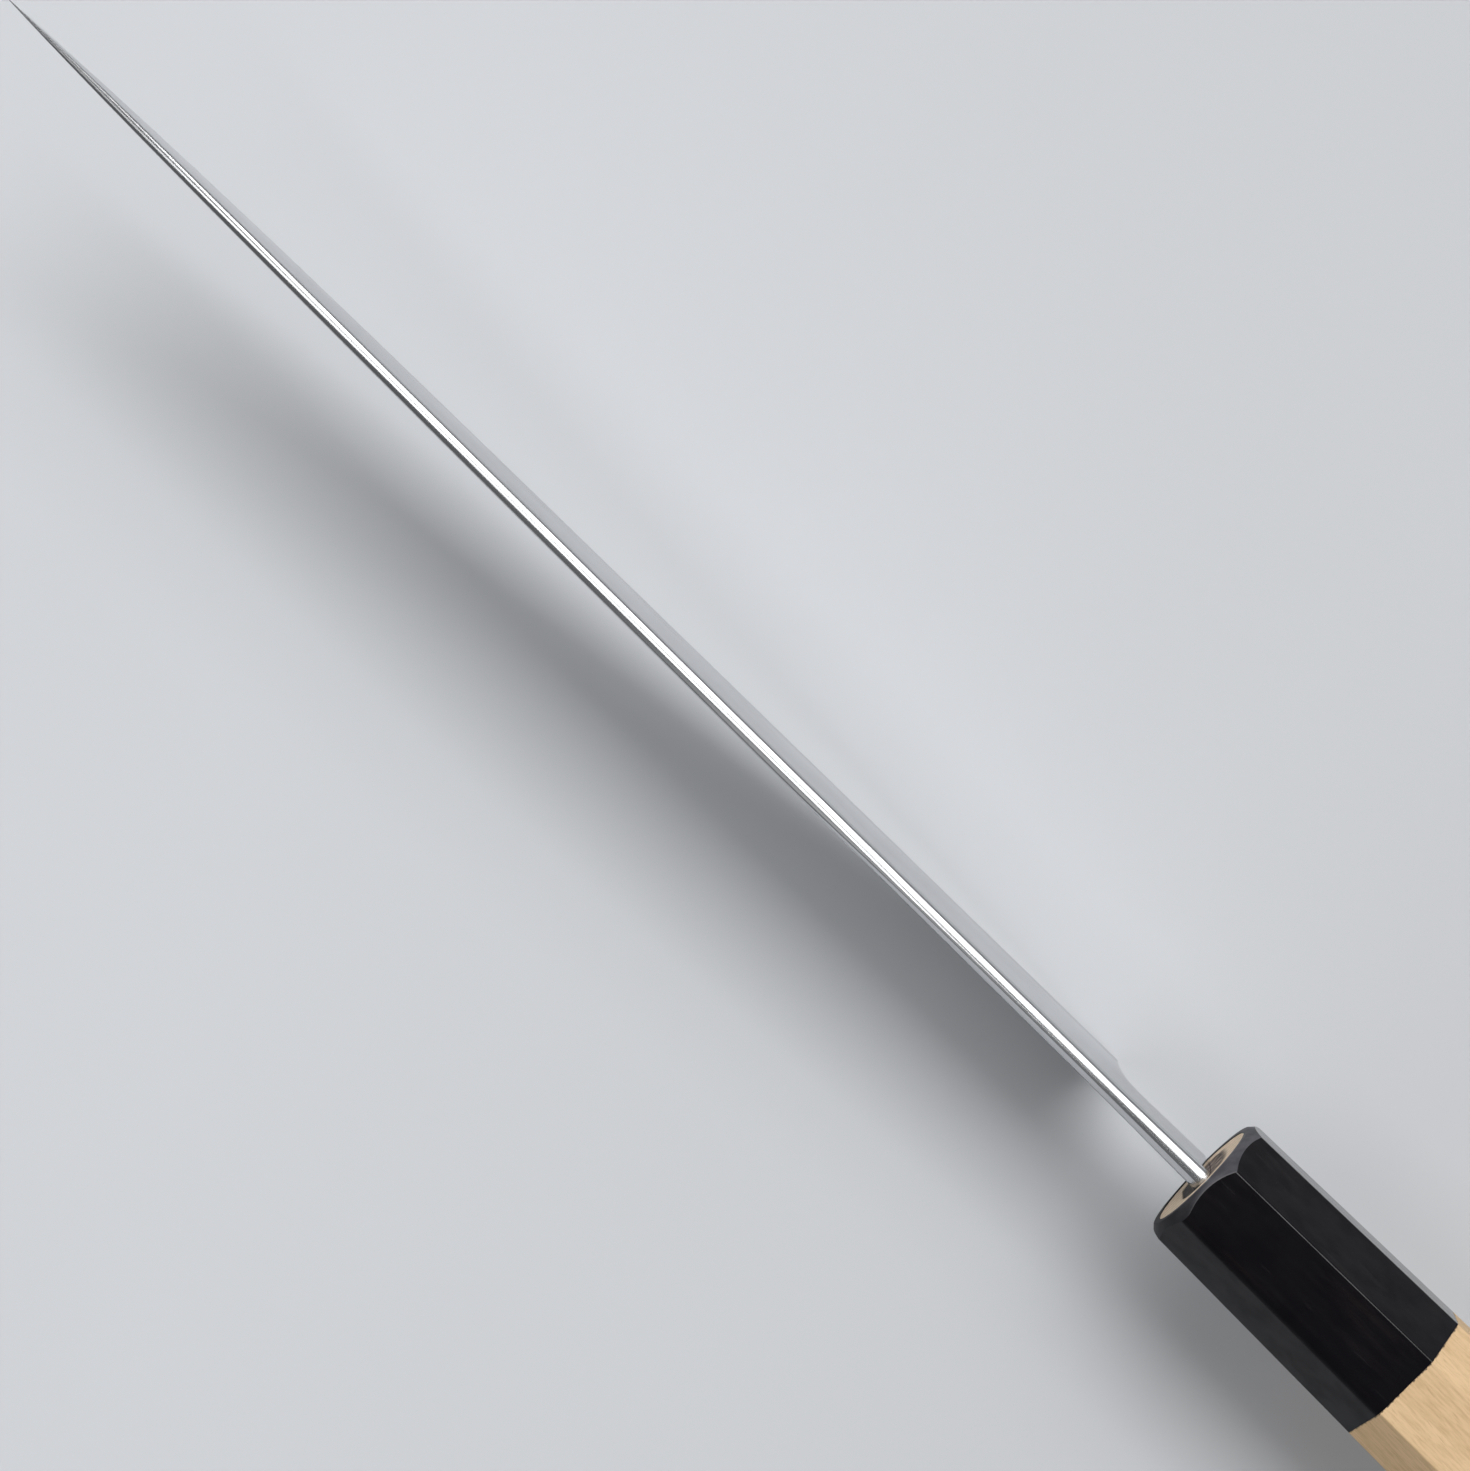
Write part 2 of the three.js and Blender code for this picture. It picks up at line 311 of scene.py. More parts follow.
class Graph:
    """A shader node tree with short ways to add nodes and join them."""

    def __init__(self, tree: Tree) -> None:
        """Start on a tree."""
        self.tree = tree

    def fill(self, node: Node, inputs: Inputs) -> None:
        """Give inputs of a node a source each.

        Args:
            node: The node.
            inputs: A plain value or another node's output for each input, by name or number.
        """
        for name, source in inputs.items():
            target = node.inputs[name]
            if isinstance(source, Socket):
                self.tree.links.new(source, target)
            elif isinstance(source, tuple) and target.type == "RGBA":
                target.default_value = (*source, 1.0)
            else:
                target.default_value = source

    def node(self, kind: str, inputs: Inputs | None = None, **settings: Any) -> Node:
        """Add a node.

        Args:
            kind: Type name of the node.
            inputs: A source for each input that leaves its default, by name or number.
            settings: Properties to set on it.

        Returns:
            The new node.
        """
        made = self.tree.nodes.new(kind)
        for name, value in settings.items():
            setattr(made, name, value)
        self.fill(made, inputs or {})
        return made

    def place(self) -> Socket:
        """Object coordinates."""
        return self.node("ShaderNodeTexCoord").outputs["Object"]

    def axes(self, vector: Source) -> tuple[Socket, ...]:
        """The X, Y and Z of a vector."""
        return tuple(self.node("ShaderNodeSeparateXYZ", {0: vector}).outputs)

    def stretch(
        self, vector: Source, scale: Source, turn: Triple = (0, 0, 0), move: Triple = (0, 0, 0)
    ) -> Socket:
        """Coordinates that are scaled, then turned by angles in radians, then moved."""
        inputs = {"Vector": vector, "Scale": scale, "Rotation": turn, "Location": move}
        return self.node("ShaderNodeMapping", inputs).outputs[0]

    def noise(self, vector: Source, pattern: Pattern, scale: Source = 1.0) -> Socket:
        """Fractal noise from 0 to 1.

        Args:
            vector: Coordinates.
            pattern: How the noise is laid on them.
            scale: Fineness on top of the pattern's own.

        Returns:
            The noise.
        """
        laid = self.stretch(vector, pattern.scale, pattern.turn, pattern.move)
        layers = {"Detail": pattern.detail, "Roughness": pattern.rough}
        inputs = {"Vector": laid, "Scale": scale, **layers}
        return self.node("ShaderNodeTexNoise", inputs).outputs["Fac"]

    def reckon(
        self, operation: str, first: Source, second: Source = 0.0, clamp: bool = False
    ) -> Socket:
        """The result of one step of arithmetic, kept from 0 to 1 where it is clamped."""
        settings = {"operation": operation, "use_clamp": clamp}
        return self.node("ShaderNodeMath", {0: first, 1: second}, **settings).outputs[0]

    def times(self, first: Source, second: Source) -> Socket:
        """The product of two values."""
        return self.reckon("MULTIPLY", first, second)

    def spread(
        self, value: Source, low: Source, high: Source, start: Source = 0.0, end: Source = 1.0
    ) -> Socket:
        """A value that goes smoothly from start, at low and below, to end, at high and above."""
        inputs = dict(enumerate((value, low, high, start, end)))
        return self.node("ShaderNodeMapRange", inputs, interpolation_type="SMOOTHSTEP").outputs[0]

    def blend(self, share: Source, first: Source, second: Source, way: str = "MIX") -> Socket:
        """Two colours, inputs 6 and 7 of the Mix node, blended by the share of the second."""
        inputs = {0: share, 6: first, 7: second}
        return self.node("ShaderNodeMix", inputs, data_type="RGBA", blend_type=way).outputs[2]

    def bump(self, height: Source, strength: float, depth: float) -> Socket:
        """A normal tilted by a height from 0 to 1, with the depth in metres of a height of 1."""
        inputs = {"Height": height, "Strength": strength, "Distance": depth}
        return self.node("ShaderNodeBump", inputs).outputs[0]

    def group(self, effect: Tree, **inputs: Source) -> bpy.types.bpy_prop_collection:
        """The outputs of a shared effect, by name."""
        return self.node("ShaderNodeGroup", inputs, node_tree=effect).outputs


class Effects:
    """The effects that several finishes share, each a node group that is built once."""

    LINES = Pattern(detail=4.0, rough=0.7)
    SCRATCHES = Pattern(
        (0.7, 0.3, 0.3), turn=(0.0, 0.002, 0.002), move=(7.0, 3.0, 5.0), detail=2.0, rough=0.5
    )
    SCRATCH_BAND: Band = (0.66, 0.72)
    PATCHES = Pattern(detail=2.0)
    PATCH_BAND: Band = (0.3, 0.7)
    DOT_CHOICE: Band = (0.6, 0.7)

    def __init__(self) -> None:
        """Build every group."""
        self.hairlines = self._hairlines()
        self.clouds = self._clouds()
        self.specks = self._specks()

    @staticmethod
    def _open(name: str, values: list[str], masks: list[str]) -> tuple[Graph, Any, Node]:
        """Start a node group that takes coordinates and values and gives masks.

        Args:
            name: Name of the group.
            values: Names of the inputs after the coordinates.
            masks: Names of the outputs, each from 0 to 1.

        Returns:
            The group's graph, the outputs of its input node, and its output node.
        """
        tree = bpy.data.node_groups.new(name, "ShaderNodeTree")
        tree.interface.new_socket(name="Vector", in_out="INPUT", socket_type="NodeSocketVector")
        for way, labels in (("INPUT", values), ("OUTPUT", masks)):
            for label in labels:
                tree.interface.new_socket(name=label, in_out=way, socket_type="NodeSocketFloat")
        graph = Graph(tree)
        return graph, graph.node("NodeGroupInput").outputs, graph.node("NodeGroupOutput")

    def _hairlines(self) -> Tree:
        """Fine lines along X, with a few deeper scratches among them.

        Returns:
            The group.
        """
        graph, given, out = self._open("hairlines", ["Along", "Across"], ["Lines", "Scratches"])
        sizes = {0: given["Along"], 1: given["Across"], 2: given["Across"]}
        scale = graph.node("ShaderNodeCombineXYZ", sizes).outputs[0]
        fine = graph.stretch(given["Vector"], scale)
        scratches = graph.spread(graph.noise(fine, self.SCRATCHES), *self.SCRATCH_BAND)
        graph.fill(out, {"Lines": graph.noise(fine, self.LINES), "Scratches": scratches})
        return graph.tree

    def _clouds(self) -> Tree:
        """Broad soft patches.

        Returns:
            The group.
        """
        graph, given, out = self._open("clouds", ["Scale"], ["Patches"])
        noise = graph.noise(given["Vector"], self.PATCHES, given["Scale"])
        graph.fill(out, {"Patches": graph.spread(noise, *self.PATCH_BAND)})
        return graph.tree

    def _specks(self) -> Tree:
        """Small scattered dots.

        Returns:
            The group.
        """
        graph, given, out = self._open("specks", ["Scale", "Size"], ["Dots"])
        inputs = {"Vector": given["Vector"], "Scale": given["Scale"]}
        cells = graph.node("ShaderNodeTexVoronoi", inputs).outputs
        near = graph.spread(cells["Distance"], 0.0, given["Size"], 1.0, 0.0)
        few = graph.spread(graph.axes(cells["Color"])[0], *self.DOT_CHOICE)
        graph.fill(out, {"Dots": graph.times(near, few)})
        return graph.tree


def new_material(name: str) -> tuple[Material, Graph, Node]:
    """Start a material.

    Args:
        name: Name of the material.

    Returns:
        The material, its graph and its Principled BSDF.
    """
    material = bpy.data.materials.new(name)
    material.use_nodes = True
    graph = Graph(material.node_tree)
    return material, graph, material.node_tree.nodes["Principled BSDF"]


@dataclass(frozen=True)
class Rubbing:
    """How steel was rubbed down: its lines' fineness, least and most roughness, and relief."""

    along: float
    across: float
    roughness: Pair
    relief: float


class Polish(Enum):
    """How far a steel surface is finished."""

    SATIN = Rubbing(along=55.0, across=5200.0, roughness=(0.07, 0.2), relief=0.12)
    BRIGHT = Rubbing(along=7.0, across=6000.0, roughness=(0.14, 0.24), relief=0.015)


@dataclass(frozen=True)
class SteelFinish:
    """Ground stainless steel, satin on the faces and bright where it is polished."""

    polish: Polish
    tone: Triple = (0.63, 0.635, 0.645)
    haze_tone: Triple = (0.57, 0.575, 0.585)
    grazing_tint: Triple = (0.8, 0.8, 0.81)
    patch_scale: float = 38.0
    patch_share: float = 0.35
    line_share: float = 0.5
    line_depth: float = 0.01 * MM
    waver: Pattern = Pattern((60, 60, 60))
    waver_share: float = 0.06
    stoned_band: Band = (0.2, 0.3, 0.4, 0.0)

    def material(self, effects: Effects) -> Material:
        """Make the material.

        Args:
            effects: The shared effects.

        Returns:
            The material.
        """
        rubbing = self.polish.value
        material, graph, shader = new_material(f"{self.polish.name.lower()}_steel")
        place = graph.place()
        sizes = {"Along": rubbing.along, "Across": rubbing.across}
        lines = graph.group(effects.hairlines, Vector=place, **sizes)
        patches = graph.group(effects.clouds, Vector=place, Scale=self.patch_scale)["Patches"]
        haze = graph.times(patches, self.patch_share)
        if self.polish is Polish.SATIN:
            rise = graph.node("ShaderNodeAttribute", attribute_name="rise").outputs["Fac"]
            waver = graph.times(graph.noise(place, self.waver), self.waver_share)
            stoned = graph.spread(graph.reckon("ADD", rise, waver), *self.stoned_band)
            haze = graph.reckon("MAXIMUM", haze, stoned)
        lined = graph.times(lines["Lines"], self.line_share)
        share = graph.reckon("ADD", haze, lined, clamp=True)
        height = graph.reckon("SUBTRACT", lines["Lines"], lines["Scratches"])
        look = {
            "Base Color": graph.blend(share, self.tone, self.haze_tone),
            "Metallic": 1.0,
            "Roughness": graph.spread(share, 0.0, 1.0, *rubbing.roughness),
            "Normal": graph.bump(height, rubbing.relief, self.line_depth),
            "Specular Tint": self.grazing_tint,
        }
        graph.fill(shader, look)
        return material


@dataclass(frozen=True)
class HornFinish:
    """Polished black buffalo horn with faint streaks along its length and a dull, rubbed nose, with
    a painted sheen that is lighter on its right and a painted highlight along its top ridge.
    """

    tone: Triple = (0.0032, 0.0026, 0.004)
    streak_tone: Triple = (0.0085, 0.0065, 0.0065)
    fleck_tone: Triple = (0.07, 0.064, 0.06)
    # Rubbed wear on the nose, which also carries a painted sheen.
    worn_sheen_tone: Triple = (0.105, 0.104, 0.116)
    # Painted highlight along the nose's top ridge.
    rim_highlight_tone: Triple = (0.14, 0.136, 0.142)
    fibres: Pattern = Pattern((70, 620, 620), turn=(0.0, 0.06, 0.09), detail=5.0, rough=0.62)
    streak_band: Band = (0.48, 0.74)
    patch_scale: float = 95.0
    speck_scale: float = 260.0
    speck_size: float = 0.03
    lines_along: float = 130.0
    lines_across: float = 3600.0
    scuff_share: float = 0.05
    nose_slope: Band = (0.3, 0.6)
    rubs: Pattern = Pattern((460, 230, 460), detail=4.0)
    rub_band: Band = (0.3, 0.75, 0.5, 1.0)
    # Painted sheen: the nose is laid lighter on its right, where the light falls.
    painted_sheen_side: Band = (-2 * MM, 7 * MM, 1.0, 0.1)
    # Height band of the painted highlight on the nose's top ridge.
    rim_highlight_height: Band = (50.11804 * MM, 50.2078 * MM)
    roughness: Pair = (0.11, 0.21)
    dullness: float = 0.3
    relief: float = 0.08
    relief_depth: float = 0.02 * MM
    mottle: Pattern = Pattern((198, 330, 330), detail=4.0)
    mottle_band: Band = (0.35, 0.7, 0.52, 0.34)
    nose_gloss: float = 0.2
    ior: float = 1.32

    def material(self, effects: Effects) -> Material:
        """Make the material.

        Args:
            effects: The shared effects.

        Returns:
            The material.
        """
        material, graph, shader = new_material("buffalo_horn")
        place = graph.place()
        fibres = graph.noise(place, self.fibres)
        patches = graph.group(effects.clouds, Vector=place, Scale=self.patch_scale)["Patches"]
        streaks = graph.times(graph.spread(fibres, *self.streak_band), patches)
        sizes = {"Scale": self.speck_scale, "Size": self.speck_size}
        specks = graph.group(effects.specks, Vector=place, **sizes)["Dots"]
        sizes = {"Along": self.lines_along, "Across": self.lines_across}
        lines = graph.group(effects.hairlines, Vector=place, **sizes)
        scuffs = graph.times(lines["Scratches"], self.scuff_share)
        marks = graph.reckon("MAXIMUM", specks, scuffs)
        nose, worn_and_lit, rim_highlight = self._wear_and_sheen(graph, place)
        colour = graph.blend(streaks, self.tone, self.streak_tone)
        # The nose's worn colour carries a painted sheen, lighter on its right, and a painted
        # highlight along its top ridge.
        colour = graph.blend(worn_and_lit, colour, self.worn_sheen_tone)
        colour = graph.blend(rim_highlight, colour, self.rim_highlight_tone)
        dull = graph.times(graph.reckon("MAXIMUM", nose, marks), self.dullness)
        polished = graph.spread(fibres, 0.0, 1.0, *self.roughness)
        height = graph.reckon("SUBTRACT", lines["Lines"], marks)
        mottle = graph.spread(graph.noise(place, self.mottle), *self.mottle_band)
        look = {
            "Base Color": graph.blend(marks, colour, self.fleck_tone),
            "Roughness": graph.reckon("ADD", polished, dull),
            "Normal": graph.bump(height, self.relief, self.relief_depth),
            "Specular IOR Level": graph.spread(nose, 0.0, 1.0, mottle, self.nose_gloss),
            "IOR": self.ior,
        }
        graph.fill(shader, look)
        return material

    def _wear_and_sheen(self, graph: Graph, place: Socket) -> tuple[Socket, Socket, Socket]:
        """Masks of the nose, of its rubbed wear with a painted sheen that is strongest on its
        right, where the light falls, and of a painted highlight along its ridge on top.

        Args:
            graph: Graph of the material.
            place: Object coordinates.

        Returns:
            The three masks.
        """
        _, y, z = graph.axes(place)
        slope = graph.axes(graph.node("ShaderNodeTexCoord").outputs["Normal"])[0]
        nose = graph.spread(slope, *self.nose_slope)
        patchy = graph.spread(graph.noise(place, self.rubs), *self.rub_band)
        worn_and_lit = graph.times(nose, graph.times(patchy, graph.spread(y, *self.painted_sheen_side)))
        return nose, worn_and_lit, graph.times(worn_and_lit, graph.spread(z, *self.rim_highlight_height))


@dataclass(frozen=True)
class Growth:
    """How growth rings show: their lean, squeeze, wave profile, fineness and finer layers."""

    lean: Triple
    squeeze: Triple
    profile: str
    scale: float
    detail: float
    detail_scale: float
    distortion: float = 2.6


class Grain(Enum):
    """Which way a wooden surface cuts the grain."""

    LONG = Growth((0.35, 0.035, 0.05), (0.12, 1, 1), "SAW", 62.0, detail=2.0, detail_scale=1.1)
    END = Growth((0.35, 0.0, 0.0), (0.0, 1, 1), "SIN", 150.0, detail=3.0, detail_scale=1.2)


@dataclass(frozen=True)
class WoodFinish:
    """Bare magnolia, pale and straight-grained, scorched in the mouth that takes the tang."""

    grain: Grain
    tone: Triple = (0.745, 0.53, 0.31)
    dark_tone: Triple = (0.57, 0.385, 0.205)
    # Tenon's end grain, paler than the butt's: partly the pale cut end, partly painted light on the
    # end that faces the tip.
    pale_lit_end_tone: Triple = (0.95, 0.76, 0.56)
    butt_tone: Triple = (0.7, 0.5, 0.3)
    pore_tone: Triple = (0.36, 0.225, 0.11)
    scorch_tone: Triple = (0.018, 0.013, 0.01)
    burn_tone: Triple = (0.11, 0.075, 0.055)
    roughness: Band = (0.2, 0.8, 0.72, 0.56)
    relief: float = 0.35
    relief_depth: float = 0.09 * MM
    gloss: float = 0.35
    # Along the grain
    joint_x: float = -81.3 * MM
    ring_band: Band = (0.35, 1.0, 0.0, 0.26)
    fibres: Pattern = Pattern((38, 1500, 1500), detail=5.0, rough=0.62)
    fibre_band: Band = (0.38, 0.7, 0.0, 0.3)
    pores: Pattern = Pattern((420, 5200, 5200), detail=2.0)
    pore_band: Band = (0.6, 0.72)
    pore_share: float = 0.3
    pore_depth: float = 0.5
    patch_stretch: Triple = (0.3, 1, 1)
    patch_scale: float = 85.0
    patch_share: float = 0.2
    flecks: Pattern = Pattern((330, 2600, 2600), turn=(0.2, 0.2, 0.26), rough=0.6)
    fleck_band: Band = (0.4, 0.68, 0.0, 0.5)
    dust: Pattern = Pattern((300, 1100, 1100), rough=0.7)
    dust_drift: float = 1.0 * MM
    dust_reach: Pair = (-0.12 * MM, 0.05 * MM)
    dust_share: float = 0.9
    # Across the grain
    end_ring_band: Band = (0.2, 1.0, 0.0, 0.7)
    end_stretch: Triple = (0.2, 1, 1)
    end_pore_scale: float = 2600.0
    end_pore_size: float = 0.42
    end_pore_share: float = 0.55
    end_pore_depth: float = 0.6
    speckle: Pattern = Pattern((420, 2100, 2100), rough=0.7)
    front_reach: float = 2 * MM
    # Scorched mouth
    mouth_middle: float = 39.05 * MM
    mouth_half_width: float = 3.7 * MM
    mouth_half_height: float = 5.9 * MM
    mouth_power: float = 3.0
    scorch_shift: float = 0.5 * MM
    scorch: Pattern = Pattern((124, 620, 620), detail=4.0, rough=0.65)
    scorch_raggedness: float = 1.4
    scorch_band: Band = (1.5, 2.5, 0.9, 0.0)
    char_band: Band = (0.4, 0.62)

    def material(self, effects: Effects) -> Material:
        """Make the material.

        Args:
            effects: The shared effects.

        Returns:
            The material.
        """
        material, graph, shader = new_material(f"magnolia_{self.grain.name.lower()}_grain")
        place = graph.place()
        cut = self._long if self.grain is Grain.LONG else self._end
        colour, height = cut(graph, place, effects)
        look = {
            "Base Color": colour,
            "Roughness": graph.spread(height, *self.roughness),
            "Normal": graph.bump(height, self.relief, self.relief_depth),
            "Specular IOR Level": self.gloss,
        }
        graph.fill(shader, look)
        return material

    def _rings(self, graph: Graph, lean: Socket) -> Socket:
        """Growth rings from 0 to 1.

        Args:
            graph: Graph of the material.
            lean: Coordinates that lean with the grain.

        Returns:
            The rings.
        """
        growth = self.grain.value
        inputs = {
            "Vector": graph.stretch(lean, growth.squeeze),
            "Scale": growth.scale,
            "Distortion": growth.distortion,
            "Detail": growth.detail,
            "Detail Scale": growth.detail_scale,
        }
        settings = {"bands_direction": "Z", "wave_profile": growth.profile}
        return graph.node("ShaderNodeTexWave", inputs, **settings).outputs["Fac"]

    def _long(self, graph: Graph, place: Socket, effects: Effects) -> tuple[Socket, Socket]:
        """A surface along the grain: growth rings, fibres, flecks and short open pores.

        Args:
            graph: Graph of the material.
            place: Object coordinates.
            effects: The shared effects.

        Returns:
            The colour and the height.
        """
        lean = graph.stretch(place, (1, 1, 1), self.grain.value.lean)
        fibres = graph.noise(lean, self.fibres)
        pores = graph.spread(graph.noise(lean, self.pores), *self.pore_band)
        broad = graph.stretch(place, self.patch_stretch)
        patches = graph.group(effects.clouds, Vector=broad, Scale=self.patch_scale)["Patches"]
        share = graph.spread(self._rings(graph, lean), *self.ring_band)
        share = graph.reckon("ADD", share, graph.spread(fibres, *self.fibre_band))
        share = graph.reckon("ADD", share, graph.times(patches, self.patch_share))
        flecked = graph.spread(graph.noise(place, self.flecks), *self.fleck_band)
        share = graph.reckon("ADD", share, flecked, clamp=True)
        colour = graph.blend(share, self.tone, self.dark_tone)
        colour = graph.blend(graph.times(pores, self.pore_share), colour, self.pore_tone)
        ragged = graph.reckon("SUBTRACT", graph.noise(place, self.dust), 0.5)
        drift = graph.times(ragged, self.dust_drift)
        reach = graph.reckon("ADD", graph.axes(place)[0], drift)
        start, end = (self.joint_x + shift for shift in self.dust_reach)
        dust = graph.spread(reach, start, end, 0.0, self.dust_share)
        colour = graph.blend(dust, colour, self.scorch_tone)
        sunk = graph.times(pores, self.pore_depth)
        return colour, graph.reckon("SUBTRACT", fibres, sunk, clamp=True)

    def _end(self, graph: Graph, place: Socket, effects: Effects) -> tuple[Socket, Socket]:
        """A surface across the grain: ring arcs, round pores, the scorched mouth and a tenon's end
        paler than the butt, partly painted light.

        Args:
            graph: Graph of the material.
            place: Object coordinates.
            effects: The shared effects.

        Returns:
            The colour and the height.
        """
        lean = graph.stretch(place, (1, 1, 1), self.grain.value.lean)
        flat = graph.stretch(place, self.end_stretch)
        sizes = {"Scale": self.end_pore_scale, "Size": self.end_pore_size}
        pores = graph.group(effects.specks, Vector=flat, **sizes)["Dots"]
        speckle = graph.noise(place, self.speckle)
        ringed = graph.spread(self._rings(graph, lean), *self.end_ring_band)
        share = graph.reckon("MULTIPLY", ringed, speckle, clamp=True)
        front = graph.spread(graph.axes(place)[0], self.joint_x, self.joint_x + self.front_reach)
        # The tenon's end is painted paler than the butt: the pale cut end with painted light on it.
        pale_and_lit = graph.blend(front, self.butt_tone, self.pale_lit_end_tone)
        colour = graph.blend(share, pale_and_lit, self.dark_tone)
        colour = graph.blend(graph.times(pores, self.end_pore_share), colour, self.pore_tone)
        charred = graph.spread(speckle, *self.char_band)
        burnt = graph.blend(charred, self.burn_tone, self.scorch_tone)
        colour = graph.blend(graph.times(self._scorched(graph, place), front), colour, burnt)
        sunk = graph.times(pores, self.end_pore_depth)
        return colour, graph.reckon("SUBTRACT", speckle, sunk, clamp=True)

    def _scorched(self, graph: Graph, place: Socket) -> Socket:
        """Mask of the ragged oval that the hot tang scorched round the mouth.

        Args:
            graph: Graph of the material.
            place: Object coordinates.

        Returns:
            The mask.
        """
        _, y, z = graph.axes(place)
        burn = graph.times(graph.noise(place, self.scorch), self.scorch_raggedness)
        for along, middle, half in (
            (y, -self.scorch_shift, self.mouth_half_width),
            (z, self.mouth_middle, self.mouth_half_height),
        ):
            away = graph.reckon("DIVIDE", graph.reckon("SUBTRACT", along, middle), half)
            bulge = graph.reckon("POWER", graph.reckon("ABSOLUTE", away), self.mouth_power)
            burn = graph.reckon("ADD", burn, bulge)
        return graph.spread(burn, *self.scorch_band)


@dataclass(frozen=True)
class ResinFinish:
    """Dark resin that was poured round the tang, lumpy and smoked, ashen on its right and kept dark
    on its left as painted shade beside the blade.
    """

    tone: Triple = (0.05, 0.043, 0.037)
    ash_tone: Triple = (0.46, 0.35, 0.29)
    lumps: Pattern = Pattern((900, 900, 900), detail=4.0, rough=0.6)
    streaks: Pattern = Pattern((900, 405, 900))
    streak_band: Band = (0.35, 0.65)
    speck_scale: float = 1500.0
    speck_size: float = 0.3
    # Ash shows on the right; on the left the resin is kept dark as painted shade.
    ash_and_shade_side: Band = (-1.0 * MM, 1.0 * MM, 0.85, 0.12)
    roughness: Band = (0.3, 0.7, 0.55, 0.85)
    relief: float = 0.6
    relief_depth: float = 0.3 * MM
    gloss: float = 0.2

    def material(self, effects: Effects) -> Material:
        """Make the material.

        Args:
            effects: The shared effects.

        Returns:
            The material.
        """
        material, graph, shader = new_material("tang_resin")
        place = graph.place()
        lumps = graph.noise(place, self.lumps)
        streaks = graph.spread(graph.noise(place, self.streaks), *self.streak_band)
        sizes = {"Scale": self.speck_scale, "Size": self.speck_size}
        specks = graph.group(effects.specks, Vector=place, **sizes)["Dots"]
        # Ashen streaks on the right, painted shade on the left.
        right = graph.spread(graph.axes(place)[1], *self.ash_and_shade_side)
        share = graph.times(graph.reckon("MAXIMUM", streaks, specks), right)
        look = {
            "Base Color": graph.blend(share, self.tone, self.ash_tone),
            "Roughness": graph.spread(lumps, *self.roughness),
            "Normal": graph.bump(lumps, self.relief, self.relief_depth),
            "Specular IOR Level": self.gloss,
        }
        graph.fill(shader, look)
        return material


